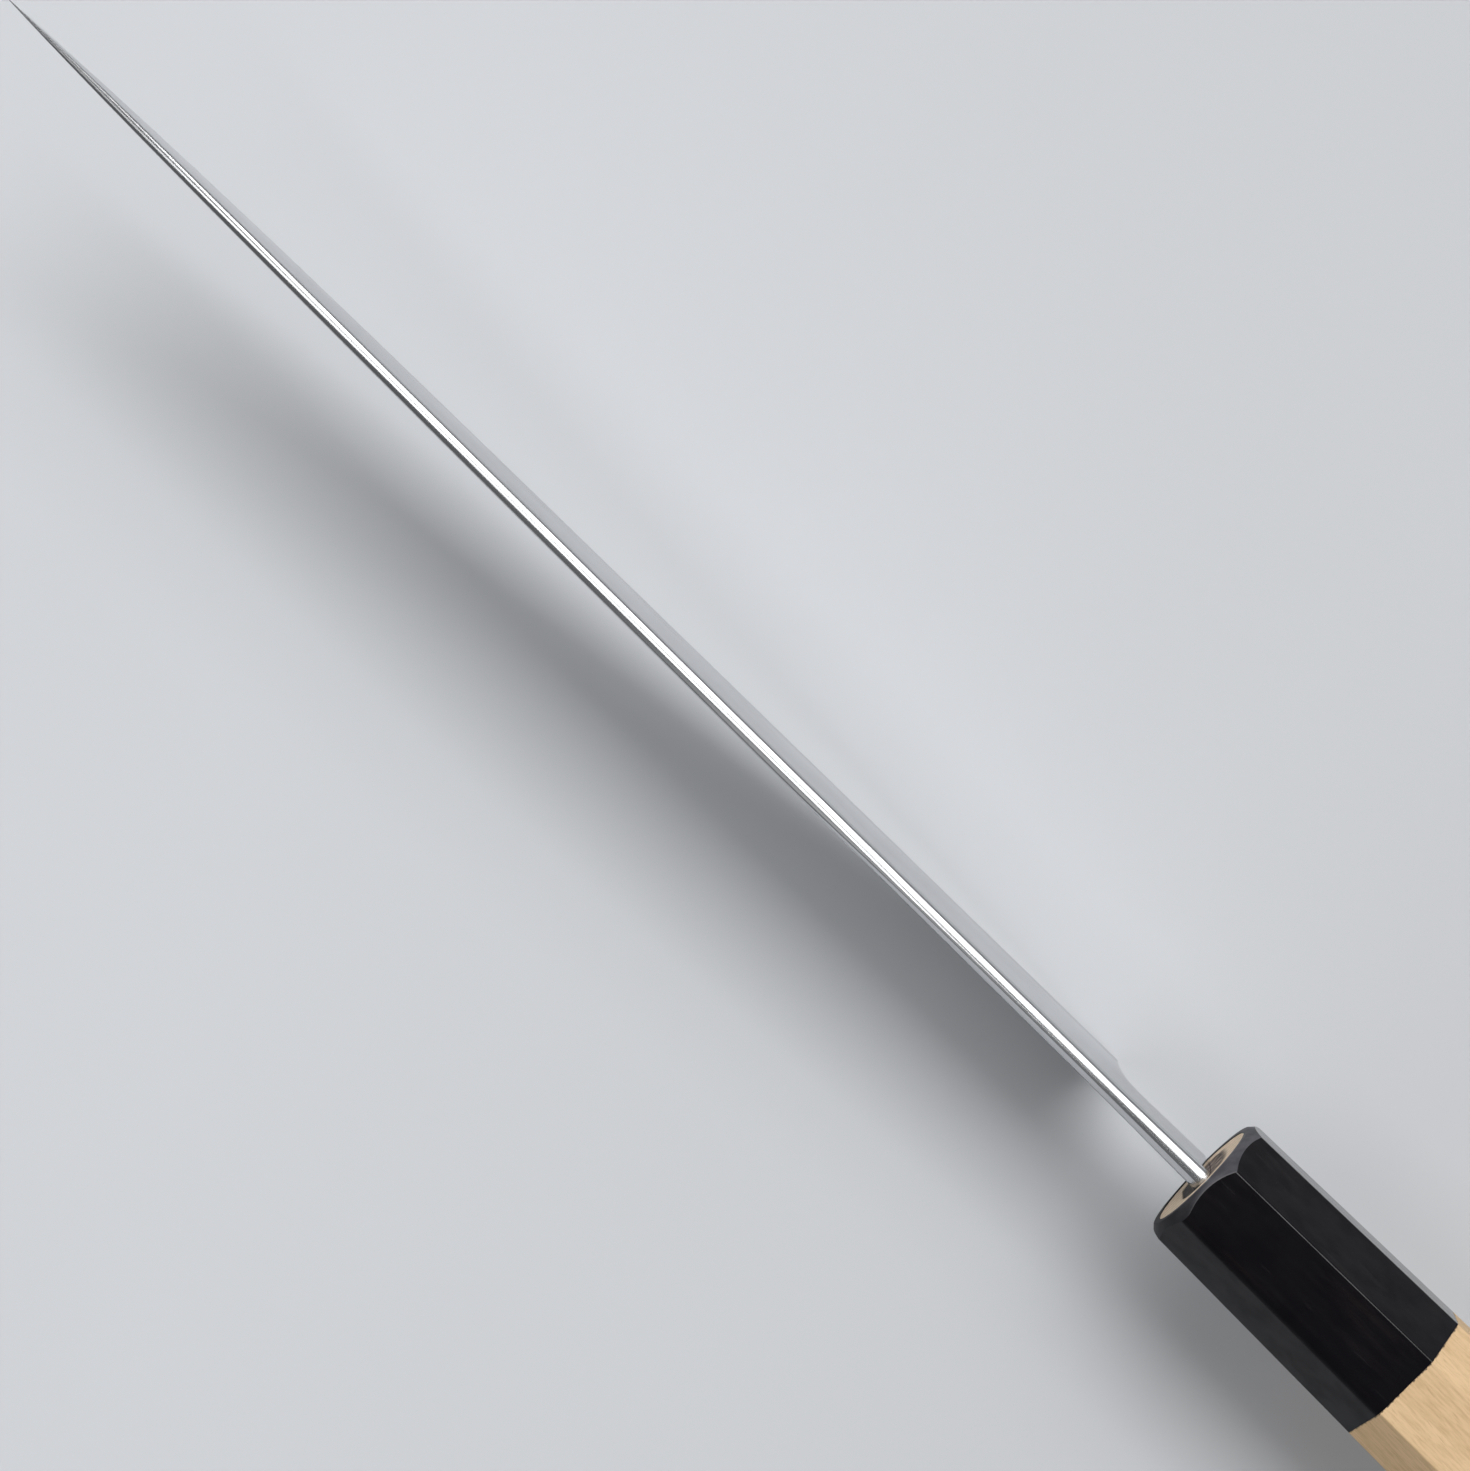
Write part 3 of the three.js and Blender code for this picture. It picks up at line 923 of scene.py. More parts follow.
@dataclass
class Blade:
    """The ground blade with its neck and hidden tang."""

    # Outline and thickness
    heel_x: float = -28.25 * MM
    length: float = 212.5 * MM
    heel_height: float = 45.5 * MM
    tip_drop: float = 13 * MM
    spine_power: float = 2.1
    edge_rise: float = 12 * MM
    belly_power: float = 7.5
    neck_length: float = 16 * MM
    neck_thickness: float = 3.1 * MM
    heel_thickness: float = 2.65 * MM
    distal_taper: float = 1.05 * MM
    tip_thinning: float = 1.5 * MM
    tip_power: float = 10.0
    # Section
    grind_power: float = 2.2
    bevel_share: float = 0.0135
    bevel_thickness: float = 0.09
    crown_share: float = 0.0154
    # Choil, neck and tang
    neck_height: float = 17 * MM
    choil_reach: float = 4 * MM
    heel_hollow: float = 0.8 * MM
    machi_step: float = 4.5 * MM
    machi_gap: float = 0.4 * MM
    mouth_depth: float = 4 * MM
    tang_top_step: float = 2 * MM
    tang_length: float = 92 * MM
    tang_end_height: float = 6 * MM
    tang_end_thickness: float = 1.7 * MM
    tang_end_top: float = 42.1 * MM
    # Points of a section and places of the sections
    face_steps: int = 14
    face_crowding: float = 1.4
    crown_steps: int = 16
    crown_gap: float = 0.15
    choil_steps: int = 32
    stations: int = 60
    neck_stations: range = range(-6, 26, 2)
    station_gap: float = 1 * MM
    # Filed shoulder, cuts and easing
    shoulder_start: float = 0.45 * MM
    shoulder_lean: float = math.radians(50)
    shoulder_fall: float = 0.004
    heel_overcut: float = 3 * MM
    back_overcut: float = 5 * MM
    bottom_overcut: float = 20 * MM
    mouth_overcut: float = 2 * MM
    edge_easing: float = 0.3 * MM
    easing_steps: int = 3
    easing_start: float = 1 * MM
    easing_reach: float = 2 * MM
    cut_angle: float = 50
    # Shading and polish
    shading_angle: float = 40
    polish_margin: float = 1.05
    face_slope: float = 0.8

    @property
    def face_x(self) -> float:
        """Place of the ferrule's face."""
        return self.heel_x - self.neck_length

    @property
    def tip_x(self) -> float:
        """Place of the tip."""
        return self.heel_x + self.length

    @property
    def tang_end_x(self) -> float:
        """Place of the tang's end."""
        return self.face_x - self.tang_length

    @property
    def neck_bottom(self) -> float:
        """Height of the neck's underside."""
        return self.heel_height - self.neck_height

    @property
    def tang_bottom(self) -> float:
        """Height of the tang's underside at the machi."""
        return self.neck_bottom + self.machi_step

    def share(self, x: float) -> float:
        """Share of the blade's length, from 0 at the heel to 1 at the tip."""
        return (x - self.heel_x) / self.length

    def spine(self, x: float) -> float:
        """Height of the spine."""
        return self.heel_height - self.tip_drop * max(self.share(x), 0.0) ** self.spine_power

    def edge(self, x: float) -> float:
        """Height of the cutting edge, carried on in a straight line behind the heel."""
        belly = self.heel_height - self.tip_drop - self.edge_rise
        return self.edge_rise * self.share(x) + belly * max(self.share(x), 0.0) ** self.belly_power

    def thickness(self, x: float) -> float:
        """Thickness under the rounded spine.

        Args:
            x: Place along the knife.

        Returns:
            The thickness.
        """
        if x < self.face_x:
            back = (self.face_x - x) / self.tang_length
            return self.neck_thickness + (self.tang_end_thickness - self.neck_thickness) * back
        if x < self.heel_x:
            swell = self.neck_thickness - self.heel_thickness
            return self.heel_thickness + swell * (self.heel_x - x) / self.neck_length
        thinning = self.tip_thinning * self.share(x) ** self.tip_power
        return self.heel_thickness - self.distal_taper * self.share(x) - thinning

    def build(self) -> Piece:
        """Model the blade: draw it out, cut its outline behind the heel and ease the cut.

        Returns:
            The blade.
        """
        piece = self._draw_out()
        self._file_shoulder(piece)
        Bench.cut(piece, self._waste(), Cut.REMOVE)
        Bench.ease(piece, self._is_cut_edge, self.edge_easing, self.easing_steps)
        Bench.smooth(piece, self.shading_angle)
        return piece

    def dress(self, piece: Piece, satin: Material, bright: Material) -> None:
        """Give the faces a satin finish and polish the spine, bevel, choil and neck's edges.

        Args:
            piece: The blade.
            satin: Finish of the faces.
            bright: Finish of what is polished.
        """
        piece.data.materials.append(satin)
        piece.data.materials.append(bright)
        for face in piece.data.polygons:
            rise = self._rise(face.center)
            crowned = rise > 1 - self.polish_margin * self.crown_share
            sharpened = rise < self.bevel_share and face.center.x > self.heel_x
            narrow = abs(face.normal.y) < self.face_slope
            face.material_index = int(crowned or sharpened or narrow)
        rises = piece.data.attributes.new("rise", "FLOAT", "POINT")
        rises.data.foreach_set("value", [self._rise(point.co) for point in piece.data.vertices])

    def tang_room(self, gap: float) -> Piece:
        """The room that the tang takes up in its bedding, open over the spine in the mouth.

        Args:
            gap: Gap between tang and bedding.

        Returns:
            The room as a solid.
        """
        bottom, end_bottom = self.tang_bottom - gap, self.tang_end_top - self.tang_end_height - gap
        above = self.heel_height + self.mouth_overcut
        top = self.heel_height - self.tang_top_step + gap
        half, end_half = self.neck_thickness / 2 + gap, self.tang_end_thickness / 2 + gap
        step_x, end_x = self.face_x - self.mouth_depth - gap, self.tang_end_x - gap
        sides = [(half, bottom), (half, above), (-half, above), (-half, bottom)]
        piece = Bench.ring("tang_room", [(self.face_x, y, z) for y, z in sides], filled=True)
        Bench.draw_out((step_x - self.face_x, 0, 0))
        Bench.draw_out((-gap, 0, 0))
        Bench.scale((1, 1, (top - bottom) / (above - bottom)), (step_x - gap, 0, bottom))
        Bench.draw_out((end_x - step_x + gap, 0, end_bottom - bottom))
        tall = (self.tang_end_height + 2 * gap) / (top - bottom)
        Bench.scale((1, end_half / half, tall), (end_x, 0, end_bottom))
        Bench.close()
        return piece

    def _rise(self, place: Vector) -> float:
        """Share of the blade's height, from 0 at the edge to 1 at the spine."""
        low = self.edge(place.x)
        return (place.z - low) / max(self.spine(place.x) - low, TINY)

    def _section(self, x: float) -> list[Triple]:
        """One section of the blade: sharpened bevel, convex faces and rounded spine.

        Args:
            x: Place along the knife.

        Returns:
            The section's points from the edge up the left face and down the right one.
        """
        low, high = self.edge(x), self.spine(x)
        half, height = self.thickness(x) / 2, high - low
        left = []
        for step in (*range(self.face_steps), self.face_steps - self.crown_gap):
            up = (step / self.face_steps) ** self.face_crowding
            full = 1 - (1 - up) ** self.grind_power
            across = half * (self.bevel_thickness + (1 - self.bevel_thickness) * full)
            rise = self.bevel_share + (1 - self.crown_share - self.bevel_share) * up
            left.append((x, across, low + height * rise))
        crown = []
        for step in range(self.crown_steps + 1):
            turn = math.pi * step / self.crown_steps
            drop = height * self.crown_share * (1 - math.sin(turn))
            crown.append((x, half * math.cos(turn), high - drop))
        right = [(x, -across, z) for _, across, z in reversed(left)]
        return [(x, 0.0, low), *left, *crown, *right]

    def _places(self) -> list[float]:
        """Places along the knife of the blade's sections, close together at heel and tip.

        Returns:
            The places, from behind the tang.
        """
        neck = [self.face_x + step * MM for step in self.neck_stations]
        turns = [math.pi / 2 * step / self.stations for step in range(self.stations)]
        front = [self.heel_x + self.length * math.sin(turn) for turn in turns]
        ahead = [x for x in front if x > neck[-1] + self.station_gap]
        return [self.tang_end_x - self.station_gap, *neck, *ahead]

    def _draw_out(self) -> Piece:
        """Draw the section out from behind the tang to the tip, scaling it on the way.

        Returns:
            The wedge, closed at both ends.
        """
        places = self._places()
        piece = Bench.ring("ground_blade", self._section(places[0]))
        for last, here in pairwise(places):
            Bench.draw_out((here - last, 0, self.edge(here) - self.edge(last)))
            wide = self.thickness(here) / self.thickness(last)
            tall = (self.spine(here) - self.edge(here)) / (self.spine(last) - self.edge(last))
            Bench.scale((1, wide, tall), (here, 0, self.edge(here)))
        tip = (self.tip_x, 0.0, self.spine(self.tip_x))
        Bench.draw_out((self.tip_x - places[-1], 0, tip[2] - self.edge(places[-1])))
        Bench.scale((1, 0, 0), tip)
        Bench.cap(places[0])
        Bench.close()
        return piece

    def _file_shoulder(self, piece: Piece) -> None:
        """File a flat on the spine's left shoulder that runs out where the spine falls away.

        Args:
            piece: The wedge.
        """
        start = Vector((self.face_x, self.shoulder_start, self.heel_height))
        left, high = math.sin(self.shoulder_lean), math.cos(self.shoulder_lean)
        up = Vector((self.shoulder_fall, left, high)).normalized()
        Bench.edit(piece)
        Bench.pick(Pick.POINTS, lambda point: (point.co - start).dot(up) > 0)
        Bench.flatten(start, up)
        Bench.close()

    def _waste(self) -> Piece:
        """The steel that is cut away behind the heel, round the choil, the neck and the tang.

        Returns:
            The waste as a solid.
        """
        machi_x, step_x = self.face_x + self.machi_gap, self.face_x - self.mouth_depth
        back_x, end_x = self.tang_end_x - self.back_overcut, self.tang_end_x
        above, below = self.heel_height + self.back_overcut, -self.bottom_overcut
        outline = [(self.heel_x, -self.heel_overcut)]
        outline += [self._choil(step / self.choil_steps) for step in range(self.choil_steps + 1)]
        outline += [(machi_x, self.neck_bottom), (machi_x, self.tang_bottom)]
        outline += [(end_x, self.tang_end_top - self.tang_end_height), (end_x, self.tang_end_top)]
        outline += [(step_x, self.heel_height - self.tang_top_step), (step_x, above)]
        outline += [(back_x, above), (back_x, below), (self.heel_x, below)]
        width = 2 * self.neck_thickness
        places = [(x, -width / 2, z) for x, z in outline]
        return Bench.block("waste", places, (0, width, 0))

    def _choil(self, share: float) -> Pair:
        """A point on the cubic curve from the heel over the hollow choil to the neck.

        Args:
            share: Share of the way along the curve.

        Returns:
            Its place along the knife and its height.
        """
        pull_x, end_x = self.heel_x + self.heel_hollow, self.heel_x - self.choil_reach
        rest = 1 - share
        pulls = (rest**3, 3 * rest**2 * share, 3 * rest * share**2, share**3)
        places = (self.heel_x, pull_x, pull_x, end_x)
        heights = (0.0, self.neck_bottom / 2, self.neck_bottom, self.neck_bottom)
        x = sum(pull * place for pull, place in zip(pulls, places))
        return x, sum(pull * height for pull, height in zip(pulls, heights))

    def _is_cut_edge(self, edge: Edge) -> bool:
        """Whether an edge runs along the choil, the neck's underside or the heel's back.

        Args:
            edge: The edge.

        Returns:
            Whether it does.
        """
        x, _, z = Bench.middle(edge)
        behind = self.face_x + self.easing_start < x < self.heel_x + self.easing_reach
        low = self.easing_start < z < self.neck_bottom + self.easing_reach
        return behind and low and Bench.is_sharp(edge, self.cut_angle)


@dataclass(frozen=True)
class Opening:
    """A section of the slot for the tang: its width and the heights of its bottom and top."""

    width: float
    bottom: float
    top: float

    @property
    def height(self) -> float:
        """Its height."""
        return self.top - self.bottom

    @property
    def middle(self) -> float:
        """Height of its middle."""
        return (self.bottom + self.top) / 2

    def drawn_in(self, inset: float) -> Opening:
        """The opening, smaller by an inset on every side."""
        return Opening(self.width - 2 * inset, self.bottom + inset, self.top - inset)


@dataclass
class Handle:
    """The octagonal handle: a magnolia body whose tenon fills a horn ferrule."""

    # Octagonal bar
    face_x: float = -44.25 * MM
    length: float = 140 * MM
    axis_z: float = 39.1 * MM
    front_width: float = 19.2 * MM
    front_height: float = 22.4 * MM
    butt_width: float = 23.77 * MM
    butt_height: float = 26.77 * MM
    top_facet: float = 0.475
    side_facet: float = 0.44
    top_rise: float = 0.45
    ridge_angle: float = 20
    ridge_easing: float = 0.2 * MM
    ridge_steps: int = 3
    worn_ridge_easing: float = 1.4 * MM
    worn_ridge_steps: int = 6
    butt_easing: float = 1.2 * MM
    butt_steps: int = 4
    # Ferrule and its nose
    ferrule_length: float = 37 * MM
    nose_width: float = 18 * MM
    nose_height: float = 20.8 * MM
    nose_length: float = 3.2 * MM
    nose_flare: float = 0.125
    nose_fall: float = 0.012
    nose_steps: int = 10
    nose_back_growth: float = 2.0
    nose_easing: float = 0.09 * MM
    nose_ridge_easing: float = 0.3 * MM
    nose_ridge_start: float = 0.2 * MM
    nose_ridge_reach: float = 1 * MM
    nose_ridge_share: float = 0.26
    nose_ridge_angle: float = 14
    # Tenon, slot and bedding
    tenon_width: float = 15.9 * MM
    tenon_height: float = 19.1 * MM
    tenon_setback: float = 0.15 * MM
    tenon_root: float = 3 * MM
    joint_gap: float = 0.03 * MM
    overcut: float = 2 * MM
    mouth: Opening = Opening(7.4 * MM, bottom=32.2 * MM, top=45.9 * MM)
    mouth_depth: float = 4 * MM
    throat: Opening = Opening(6.3 * MM, bottom=31.4 * MM, top=45.1 * MM)
    slot_end: Opening = Opening(4.9 * MM, bottom=34.5 * MM, top=43.7 * MM)
    slot_end_x: float = -137.85 * MM
    bedding_setback: float = 0.22 * MM
    # Mesh, shading and grain
    oval_steps: int = 96
    horn_shading: float = 20
    wood_shading: float = 32
    end_slope: float = 0.8
    slot_margin: float = 0.1 * MM
    slot_sink: float = 1 * MM

    @property
    def butt_x(self) -> float:
        """Place of the butt."""
        return self.face_x - self.length

    @property
    def shoulder_x(self) -> float:
        """Place of the joint of horn and wood."""
        return self.face_x - self.ferrule_length

    def build_ferrule(self) -> Piece:
        """Model the ferrule: the front of the bar, with a rounded nose and an oval bore.

        Returns:
            The ferrule.
        """
        piece = self._bar("ferrule_horn", self.worn_ridge_easing, 0.0)
        Bench.saw(piece, self.shoulder_x, Half.FRONT)
        Bench.cut(piece, self._nose(), Cut.KEEP)
        back_x, front_x = self.shoulder_x - self.overcut, self.face_x + self.overcut
        Bench.cut(piece, self._rod("bore", back_x, front_x, 2 * self.joint_gap), Cut.REMOVE)
        Bench.ease(piece, self._is_nose_rim, self.nose_easing, 1)
        Bench.ease(piece, self._is_nose_ridge, self.nose_ridge_easing, self.ridge_steps)
        Bench.smooth(piece, self.horn_shading)
        return piece

    def build_body(self) -> Piece:
        """Model the body: the back of the bar with an eased butt, its tenon and the tang's slot.

        Returns:
            The body.
        """
        piece = self._bar("handle_wood", self.ridge_easing, self.butt_easing)
        front_x = self.shoulder_x - self.joint_gap
        Bench.saw(piece, front_x, Half.BACK)
        tenon_x = self.face_x - self.tenon_setback
        Bench.cut(piece, self._rod("tenon", front_x - self.tenon_root, tenon_x, 0.0), Cut.JOIN)
        Bench.cut(piece, self._slot("slot", self.face_x + self.overcut, 0.0), Cut.REMOVE)
        Bench.smooth(piece, self.wood_shading)
        return piece

    def build_bedding(self, blade: Blade) -> Piece:
        """Model the resin that fills the slot round the tang, nearly flush with the tenon's end.

        Args:
            blade: The blade whose tang it holds.

        Returns:
            The bedding.
        """
        piece = self._slot("tang_resin", self.face_x - self.bedding_setback, self.joint_gap)
        Bench.cut(piece, blade.tang_room(self.joint_gap), Cut.REMOVE)
        Bench.smooth(piece, self.wood_shading)
        return piece

    def dress_body(self, piece: Piece, long: Material, end: Material) -> None:
        """Give the facets long grain, and the butt, the tenon's end and the slot end grain.

        Args:
            piece: The wooden body.
            long: Finish along the grain.
            end: Finish across the grain.
        """
        piece.data.materials.append(long)
        piece.data.materials.append(end)
        bottom, top = self.throat.bottom - self.slot_sink, self.mouth.top + self.slot_margin
        side = self.mouth.width / 2 + self.slot_margin
        for face in piece.data.polygons:
            x, y, z = face.center
            in_slot = abs(y) < side and x > self.slot_end_x and bottom < z < top
            face.material_index = int(in_slot or abs(face.normal.x) > self.end_slope)

    def _bar(self, name: str, left_easing: float, butt_easing: float) -> Piece:
        """An octagonal bar as long as the handle: a chamfered box, tapered and eased.

        Args:
            name: Name of the piece.
            left_easing: Easing of the ridge at the top left, where the hand wears it.
            butt_easing: Easing round the butt, or 0 for a sharp one.

        Returns:
            The bar.
        """
        leg_y = (1 - self.top_facet) * self.front_width / 2
        leg_z = (1 - self.side_facet) * self.front_height / 2
        squeeze = leg_y / leg_z
        centre = (self.face_x - self.length / 2, 0, self.axis_z)
        Bench.clear()
        bpy.ops.mesh.primitive_cube_add(size=1, location=centre)
        piece = bpy.context.object
        piece.name = name
        piece.scale = (self.length, self.front_width / squeeze, self.front_height)
        bpy.ops.object.transform_apply(location=True, rotation=True, scale=True)
        Bench.ease(piece, self._is_long, leg_z, 1)
        Bench.edit(piece)
        Bench.scale((1, squeeze, 1), (0, 0, self.axis_z))
        Bench.pick(Pick.POINTS, lambda point: point.co.x < self.butt_x + self.overcut)
        wide, tall = self.butt_width / self.front_width, self.butt_height / self.front_height
        Bench.scale((1, wide, tall), (self.butt_x, 0, self.axis_z))
        Bench.close()
        if butt_easing:
            Bench.ease(piece, self._is_butt_edge, butt_easing, self.butt_steps)
        Bench.ease(piece, self._is_left_ridge, left_easing, self.worn_ridge_steps)
        Bench.ease(piece, self._is_long, self.ridge_easing, self.ridge_steps)
        return piece

    def _nose(self) -> Piece:
        """The rounded nose of the ferrule: an oval that grows backwards, ever more slowly.

        Returns:
            The nose as a solid.
        """
        last = 1.0
        piece = Bench.ring("nose", self._oval(self.face_x, self.nose_width, self.nose_height))
        for step in range(1, self.nose_steps + 1):
            back = self.nose_length / MM * step / self.nose_steps
            growth = 1 + self.nose_flare * back - self.nose_fall * back**2
            Bench.draw_out((-self.nose_length / self.nose_steps, 0, 0))
            centre = (self.face_x - back * MM, 0, self.axis_z)
            Bench.scale((1, growth / last, growth / last), centre)
            last = growth
        end_x = self.shoulder_x - self.overcut
        Bench.draw_out((end_x - self.face_x + self.nose_length, 0, 0))
        growth = self.nose_back_growth
        Bench.scale((1, growth, growth), (end_x, 0, self.axis_z))
        Bench.cap(end_x)
        Bench.cap(self.face_x)
        Bench.close()
        return piece

    def _oval(self, x: float, width: float, height: float) -> list[Triple]:
        """Points on an oval round the handle's axis.

        Args:
            x: Place along the knife.
            width: Width of the oval.
            height: Height of the oval.

        Returns:
            The points.
        """
        turns = [2 * math.pi * step / self.oval_steps for step in range(self.oval_steps)]
        sides = [(width / 2 * math.cos(turn), height / 2 * math.sin(turn)) for turn in turns]
        return [(x, y, self.axis_z + z) for y, z in sides]

    def _rod(self, name: str, back_x: float, front_x: float, room: float) -> Piece:
        """An oval rod from one place to another, wider than the tenon by some room."""
        oval = self._oval(back_x, self.tenon_width + room, self.tenon_height + room)
        return Bench.block(name, oval, (front_x - back_x, 0, 0))

    def _slot(self, name: str, front_x: float, inset: float) -> Piece:
        """The slot for the tang: an upright mouth with round ends, a throat and a narrow end.

        Args:
            name: Name of the piece.
            front_x: Place of its front end.
            inset: How far it is drawn in on every side.

        Returns:
            The slot as a solid.
        """
        sections = (self.mouth, self.throat, self.slot_end)
        mouth, throat, end = (section.drawn_in(inset) for section in sections)
        radius = mouth.width / 2
        straight = mouth.height / 2 - radius
        places = []
        for step in range(self.oval_steps):
            turn = 2 * math.pi * (step + 0.5) / self.oval_steps
            centre = mouth.middle + (straight if turn < math.pi else -straight)
            places.append((front_x, radius * math.cos(turn), centre + radius * math.sin(turn)))
        piece = Bench.ring(name, places, filled=True)
        mouth_x = self.face_x - self.mouth_depth
        Bench.draw_out((mouth_x - front_x, 0, 0))
        last, last_x = mouth, mouth_x
        for here, x in ((throat, mouth_x - self.mouth_depth), (end, self.slot_end_x + inset)):
            Bench.draw_out((x - last_x, 0, here.middle - last.middle))
            share = (1, here.width / last.width, here.height / last.height)
            Bench.scale(share, (x, 0, here.middle))
            last, last_x = here, x
        Bench.close()
        return piece

    def _is_long(self, edge: Edge) -> bool:
        """Whether an edge is a sharp one that runs along the bar."""
        along = abs(edge.verts[0].co.x - edge.verts[1].co.x) > self.length / 2
        return along and Bench.is_sharp(edge, self.ridge_angle)

    def _is_left_ridge(self, edge: Edge) -> bool:
        """Whether an edge is the ridge at the left of the top facet."""
        _, y, z = Bench.middle(edge)
        return self._is_long(edge) and y > 0 and z > self.axis_z + self.top_rise * self.front_height

    def _is_nose_rim(self, edge: Edge) -> bool:
        """Whether an edge is a sharp one at the flat end of the rounded nose."""
        in_front = Bench.middle(edge).x > self.face_x - TINY
        return in_front and Bench.is_sharp(edge, self.ridge_angle)

    def _is_nose_ridge(self, edge: Edge) -> bool:
        """Whether an edge is a sharp one where the rounded nose runs into the facets.

        Args:
            edge: The edge.

        Returns:
            Whether it is.
        """
        x, y, z = Bench.middle(edge)
        wide, tall = y / self.nose_width, (z - self.axis_z) / self.nose_height
        back_x = self.face_x - self.nose_length - self.nose_ridge_reach
        near = back_x < x < self.face_x - self.nose_ridge_start
        outside = wide**2 + tall**2 > self.nose_ridge_share
        return near and outside and Bench.is_sharp(edge, self.nose_ridge_angle)

    def _is_butt_edge(self, edge: Edge) -> bool:
        """Whether an edge lies round the butt."""
        return max(point.co.x for point in edge.verts) < self.butt_x + TINY


@dataclass(frozen=True)
class Lamp:
    """A soft rectangular lamp over the knife, leaning to its right by an angle in degrees."""

    name: str
    power: float
    lean: float
    middle_x: float
    length: float
    width: float
    distance: float = 2.4

    def hang(self) -> None:
        """Put the lamp up, facing the knife."""
        light = bpy.data.lights.new(self.name, "AREA")
        light.shape = "RECTANGLE"
        light.energy = self.power
        light.size, light.size_y = self.length, self.width
        lamp = bpy.data.objects.new(self.name, light)
        bpy.context.scene.collection.objects.link(lamp)
        lean = math.radians(self.lean)
        across, back = Vector((1.0, 0.0, 0.0)), Vector((0.0, -math.sin(lean), math.cos(lean)))
        turn = Matrix((across, back.cross(across), back)).transposed()
        place = self.distance * back + self.middle_x * across
        lamp.matrix_world = Matrix.Translation(place) @ turn.to_4x4()


@dataclass
class Studio:
    """The pale floor, the soft lights and the camera over the spine."""

    # Floor
    floor_tone: Triple = (0.612, 0.626, 0.649)
    floor_patches: Pattern = Pattern((14, 14, 14), detail=2.0)
    floor_dimming: float = 0.97
    # Painted light: the floor's tone drifts brighter towards the knife's left and tip.
    floor_light_drift: float = 0.1
    light_drift_reach: float = 0.3
    floor_roughness: float = 0.55
    floor_gloss: float = 0.2
    floor_fade: Band = (0.45, 1.5)
    floor_size: float = 16
    floor_strips: int = 800
    floor_z: float = -0.1 * MM
    heel_x: float = -28.25 * MM
    fall: float = math.tan(math.radians(8.9))
    bend: float = 25 * MM
    run: float = 0.3
    # World and lamps
    overhead: float = 0.14
    horizon: float = 0.76
    horizon_band: Band = (0.08, 0.45)
    left_share: float = 0.38
    side_reach: float = 0.6
    lamps: tuple[Lamp, ...] = (
        Lamp("key", 45.0, lean=24.5, middle_x=0.175, length=1.45, width=1.15, distance=3.6),
        Lamp("front", 19.0, lean=24.5, middle_x=1.335, length=0.87, width=1.15, distance=3.6),
        Lamp("veil", 47.0, lean=23.5, middle_x=0.3, length=2.4, width=2.4, distance=3.6),
        Lamp("skirt", 5.0, lean=46.0, middle_x=0.0, length=3.2, width=1.35, distance=3.6),
        Lamp("panel", 6.3, lean=-9.0, middle_x=0.69, length=1.25, width=0.63),
        Lamp("strip", 0.31, lean=-13.0, middle_x=0.015, length=0.17, width=0.2),
        Lamp("fill", 0.95, lean=-42.0, middle_x=0.15, length=0.5, width=1.5),
    )
    # Camera
    lens: float = 102.787
    sensor_width: float = 36
    camera_place: Triple = (12.371 * MM, -48.192 * MM, 601.102 * MM)
    camera_right: Triple = (-0.712656, -0.694575, -0.098426)
    camera_up: Triple = (0.699634, -0.713981, -0.027283)

    def build(self) -> None:
        """Set up the floor, the world, the lamps, the camera and the plain view transform."""
        self._floor()
        self._world()
        for lamp in self.lamps:
            lamp.hang()
        self._camera()
        bpy.context.scene.view_settings.view_transform = "Standard"

    def _floor(self) -> None:
        """Lay a floor that is level behind the heel and falls away under the blade.

        The blade hangs over it as over a table on which heel and butt rest, so its shadow widens
        towards the tip.
        """
        Bench.clear()
        bpy.ops.mesh.primitive_grid_add(
            x_subdivisions=self.floor_strips, y_subdivisions=1, size=self.floor_size
        )
        floor = bpy.context.object
        floor.name = "studio_floor"
        for point in floor.data.vertices:
            point.co.z = self.floor_z - self._dip(point.co.x) + self._dip(self.heel_x)
        Bench.hold(floor)
        bpy.ops.object.shade_smooth()
        floor.data.materials.append(self._floor_material())

    def _floor_material(self) -> Material:
        """A pale floor with a soft drift of painted light, brighter towards the knife's left and
        tip, that fades to a plain tone far from the knife.

        Returns:
            The material.
        """
        material, graph, shader = new_material("studio_floor")
        place = graph.place()
        x, y, _ = graph.axes(place)
        darker = tuple(self.floor_dimming * channel for channel in self.floor_tone)
        tone = graph.blend(graph.noise(place, self.floor_patches), self.floor_tone, darker)
        # Painted light: a drift of tone that brightens the floor towards +X and +Y.
        reach, dims, brightens = self.light_drift_reach, 1 - self.floor_light_drift, 1 + self.floor_light_drift
        drift = graph.spread(graph.reckon("ADD", x, y), -reach, reach, dims, brightens)
        look = {
            "Base Color": graph.blend(1.0, tone, drift, "MULTIPLY"),
            "Roughness": self.floor_roughness,
            "Specular IOR Level": self.floor_gloss,
        }
        graph.fill(shader, look)
        away = graph.reckon("ADD", graph.times(x, x), graph.times(y, y))
        far = graph.spread(graph.reckon("SQRT", away), *self.floor_fade)
        ray = graph.node("ShaderNodeLightPath").outputs
        seen = graph.reckon("MAXIMUM", ray["Is Camera Ray"], ray["Is Glossy Ray"])
        seen = graph.reckon("MAXIMUM", seen, ray["Is Transmission Ray"])
        glow = graph.node("ShaderNodeEmission", {"Color": self.floor_tone})
        sides = {0: graph.times(far, seen), 1: shader.outputs[0], 2: glow.outputs[0]}
        fade = graph.node("ShaderNodeMixShader", sides)
        graph.fill(material.node_tree.nodes["Material Output"], {"Surface": fade.outputs[0]})
        return material

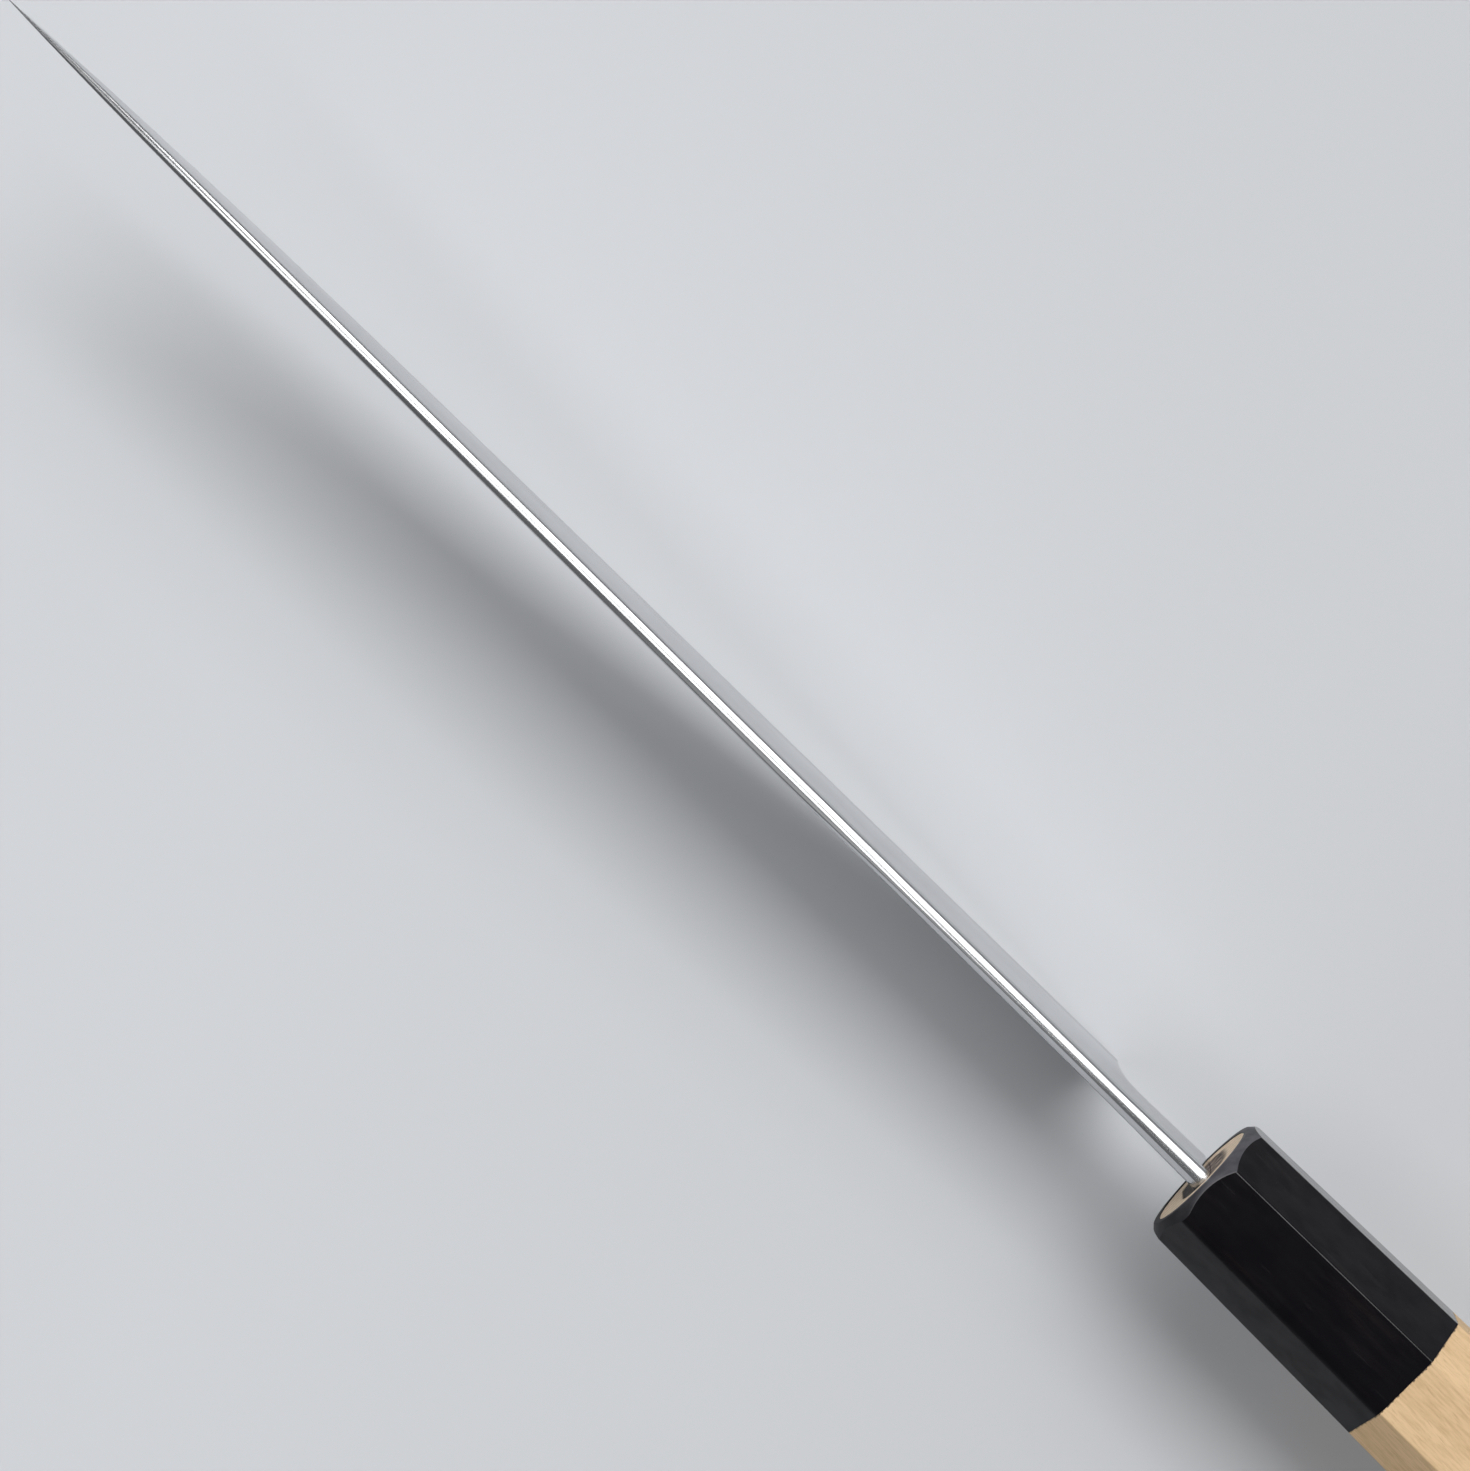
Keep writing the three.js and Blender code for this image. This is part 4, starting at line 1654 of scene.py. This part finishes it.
    def _dip(self, x: float) -> float:
        """How far the floor has fallen: it bends near the heel and levels out past the tip.

        Args:
            x: Place along the knife.

        Returns:
            The fall.
        """
        away = min(max(x - self.heel_x + self.bend, 0.0), 2 * self.bend + self.run)
        start = min(away, 2 * self.bend) ** 2 / (4 * self.bend)
        return self.fall * (start + max(away - 2 * self.bend, 0.0))

    def _world(self) -> None:
        """Put up a pale horizon, dimmer on the left, under a darker ceiling."""
        world = bpy.data.worlds.new("studio")
        world.use_nodes = True
        bpy.context.scene.world = world
        graph = Graph(world.node_tree)
        _, left, up = graph.axes(graph.node("ShaderNodeTexCoord").outputs["Generated"])
        dim = self.horizon * self.left_share
        pale_and_lit = graph.spread(left, -self.side_reach, self.side_reach, self.horizon, dim)
        level = graph.spread(up, *self.horizon_band, pale_and_lit, self.overhead)
        tint = tuple(channel / max(self.floor_tone) for channel in self.floor_tone)
        graph.fill(world.node_tree.nodes["Background"], {"Color": tint, "Strength": level})

    def _camera(self) -> None:
        """Hang the camera over the spine, with the tip up and to the left."""
        camera = bpy.data.objects.new("camera", bpy.data.cameras.new("camera"))
        camera.data.lens = self.lens
        camera.data.sensor_width = self.sensor_width
        bpy.context.scene.collection.objects.link(camera)
        right, up = Vector(self.camera_right).normalized(), Vector(self.camera_up).normalized()
        turn = Matrix((right, up, right.cross(up))).transposed()
        camera.matrix_world = Matrix.Translation(self.camera_place) @ turn.to_4x4()
        bpy.context.scene.camera = camera


def hand_over(piece: Piece, node: str) -> None:
    """Let a piece stand for a CAD node, hiding that node, and ride on the knife.

    Args:
        piece: The piece.
        node: Name of the CAD node.
    """
    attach(piece, "root")
    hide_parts(node)
    LOG.info("%s: %d faces for %s", piece.name, len(piece.data.polygons), node)


def main() -> None:
    """Build the knife's pieces and the studio, and note the sizes."""
    logging.basicConfig(level=logging.INFO, format="%(name)s: %(message)s")
    LOG.info("%d CAD nodes to dress", len(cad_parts))
    effects = Effects()
    Studio().build()

    blade = Blade()
    steel = blade.build()
    satin, bright = (SteelFinish(polish).material(effects) for polish in Polish)
    blade.dress(steel, satin, bright)
    hand_over(steel, "blade_with_tang")

    handle = Handle()
    ferrule = handle.build_ferrule()
    ferrule.data.materials.append(HornFinish().material(effects))
    hand_over(ferrule, "horn_ferrule")

    body = handle.build_body()
    long, end = (WoodFinish(grain).material(effects) for grain in Grain)
    handle.dress_body(body, long, end)
    hand_over(body, "handle_body")

    bedding = handle.build_bedding(blade)
    bedding.data.materials.append(ResinFinish().material(effects))
    hand_over(bedding, "tang_bedding")

    Bench.clear()


if __name__ == "__main__":
    main()
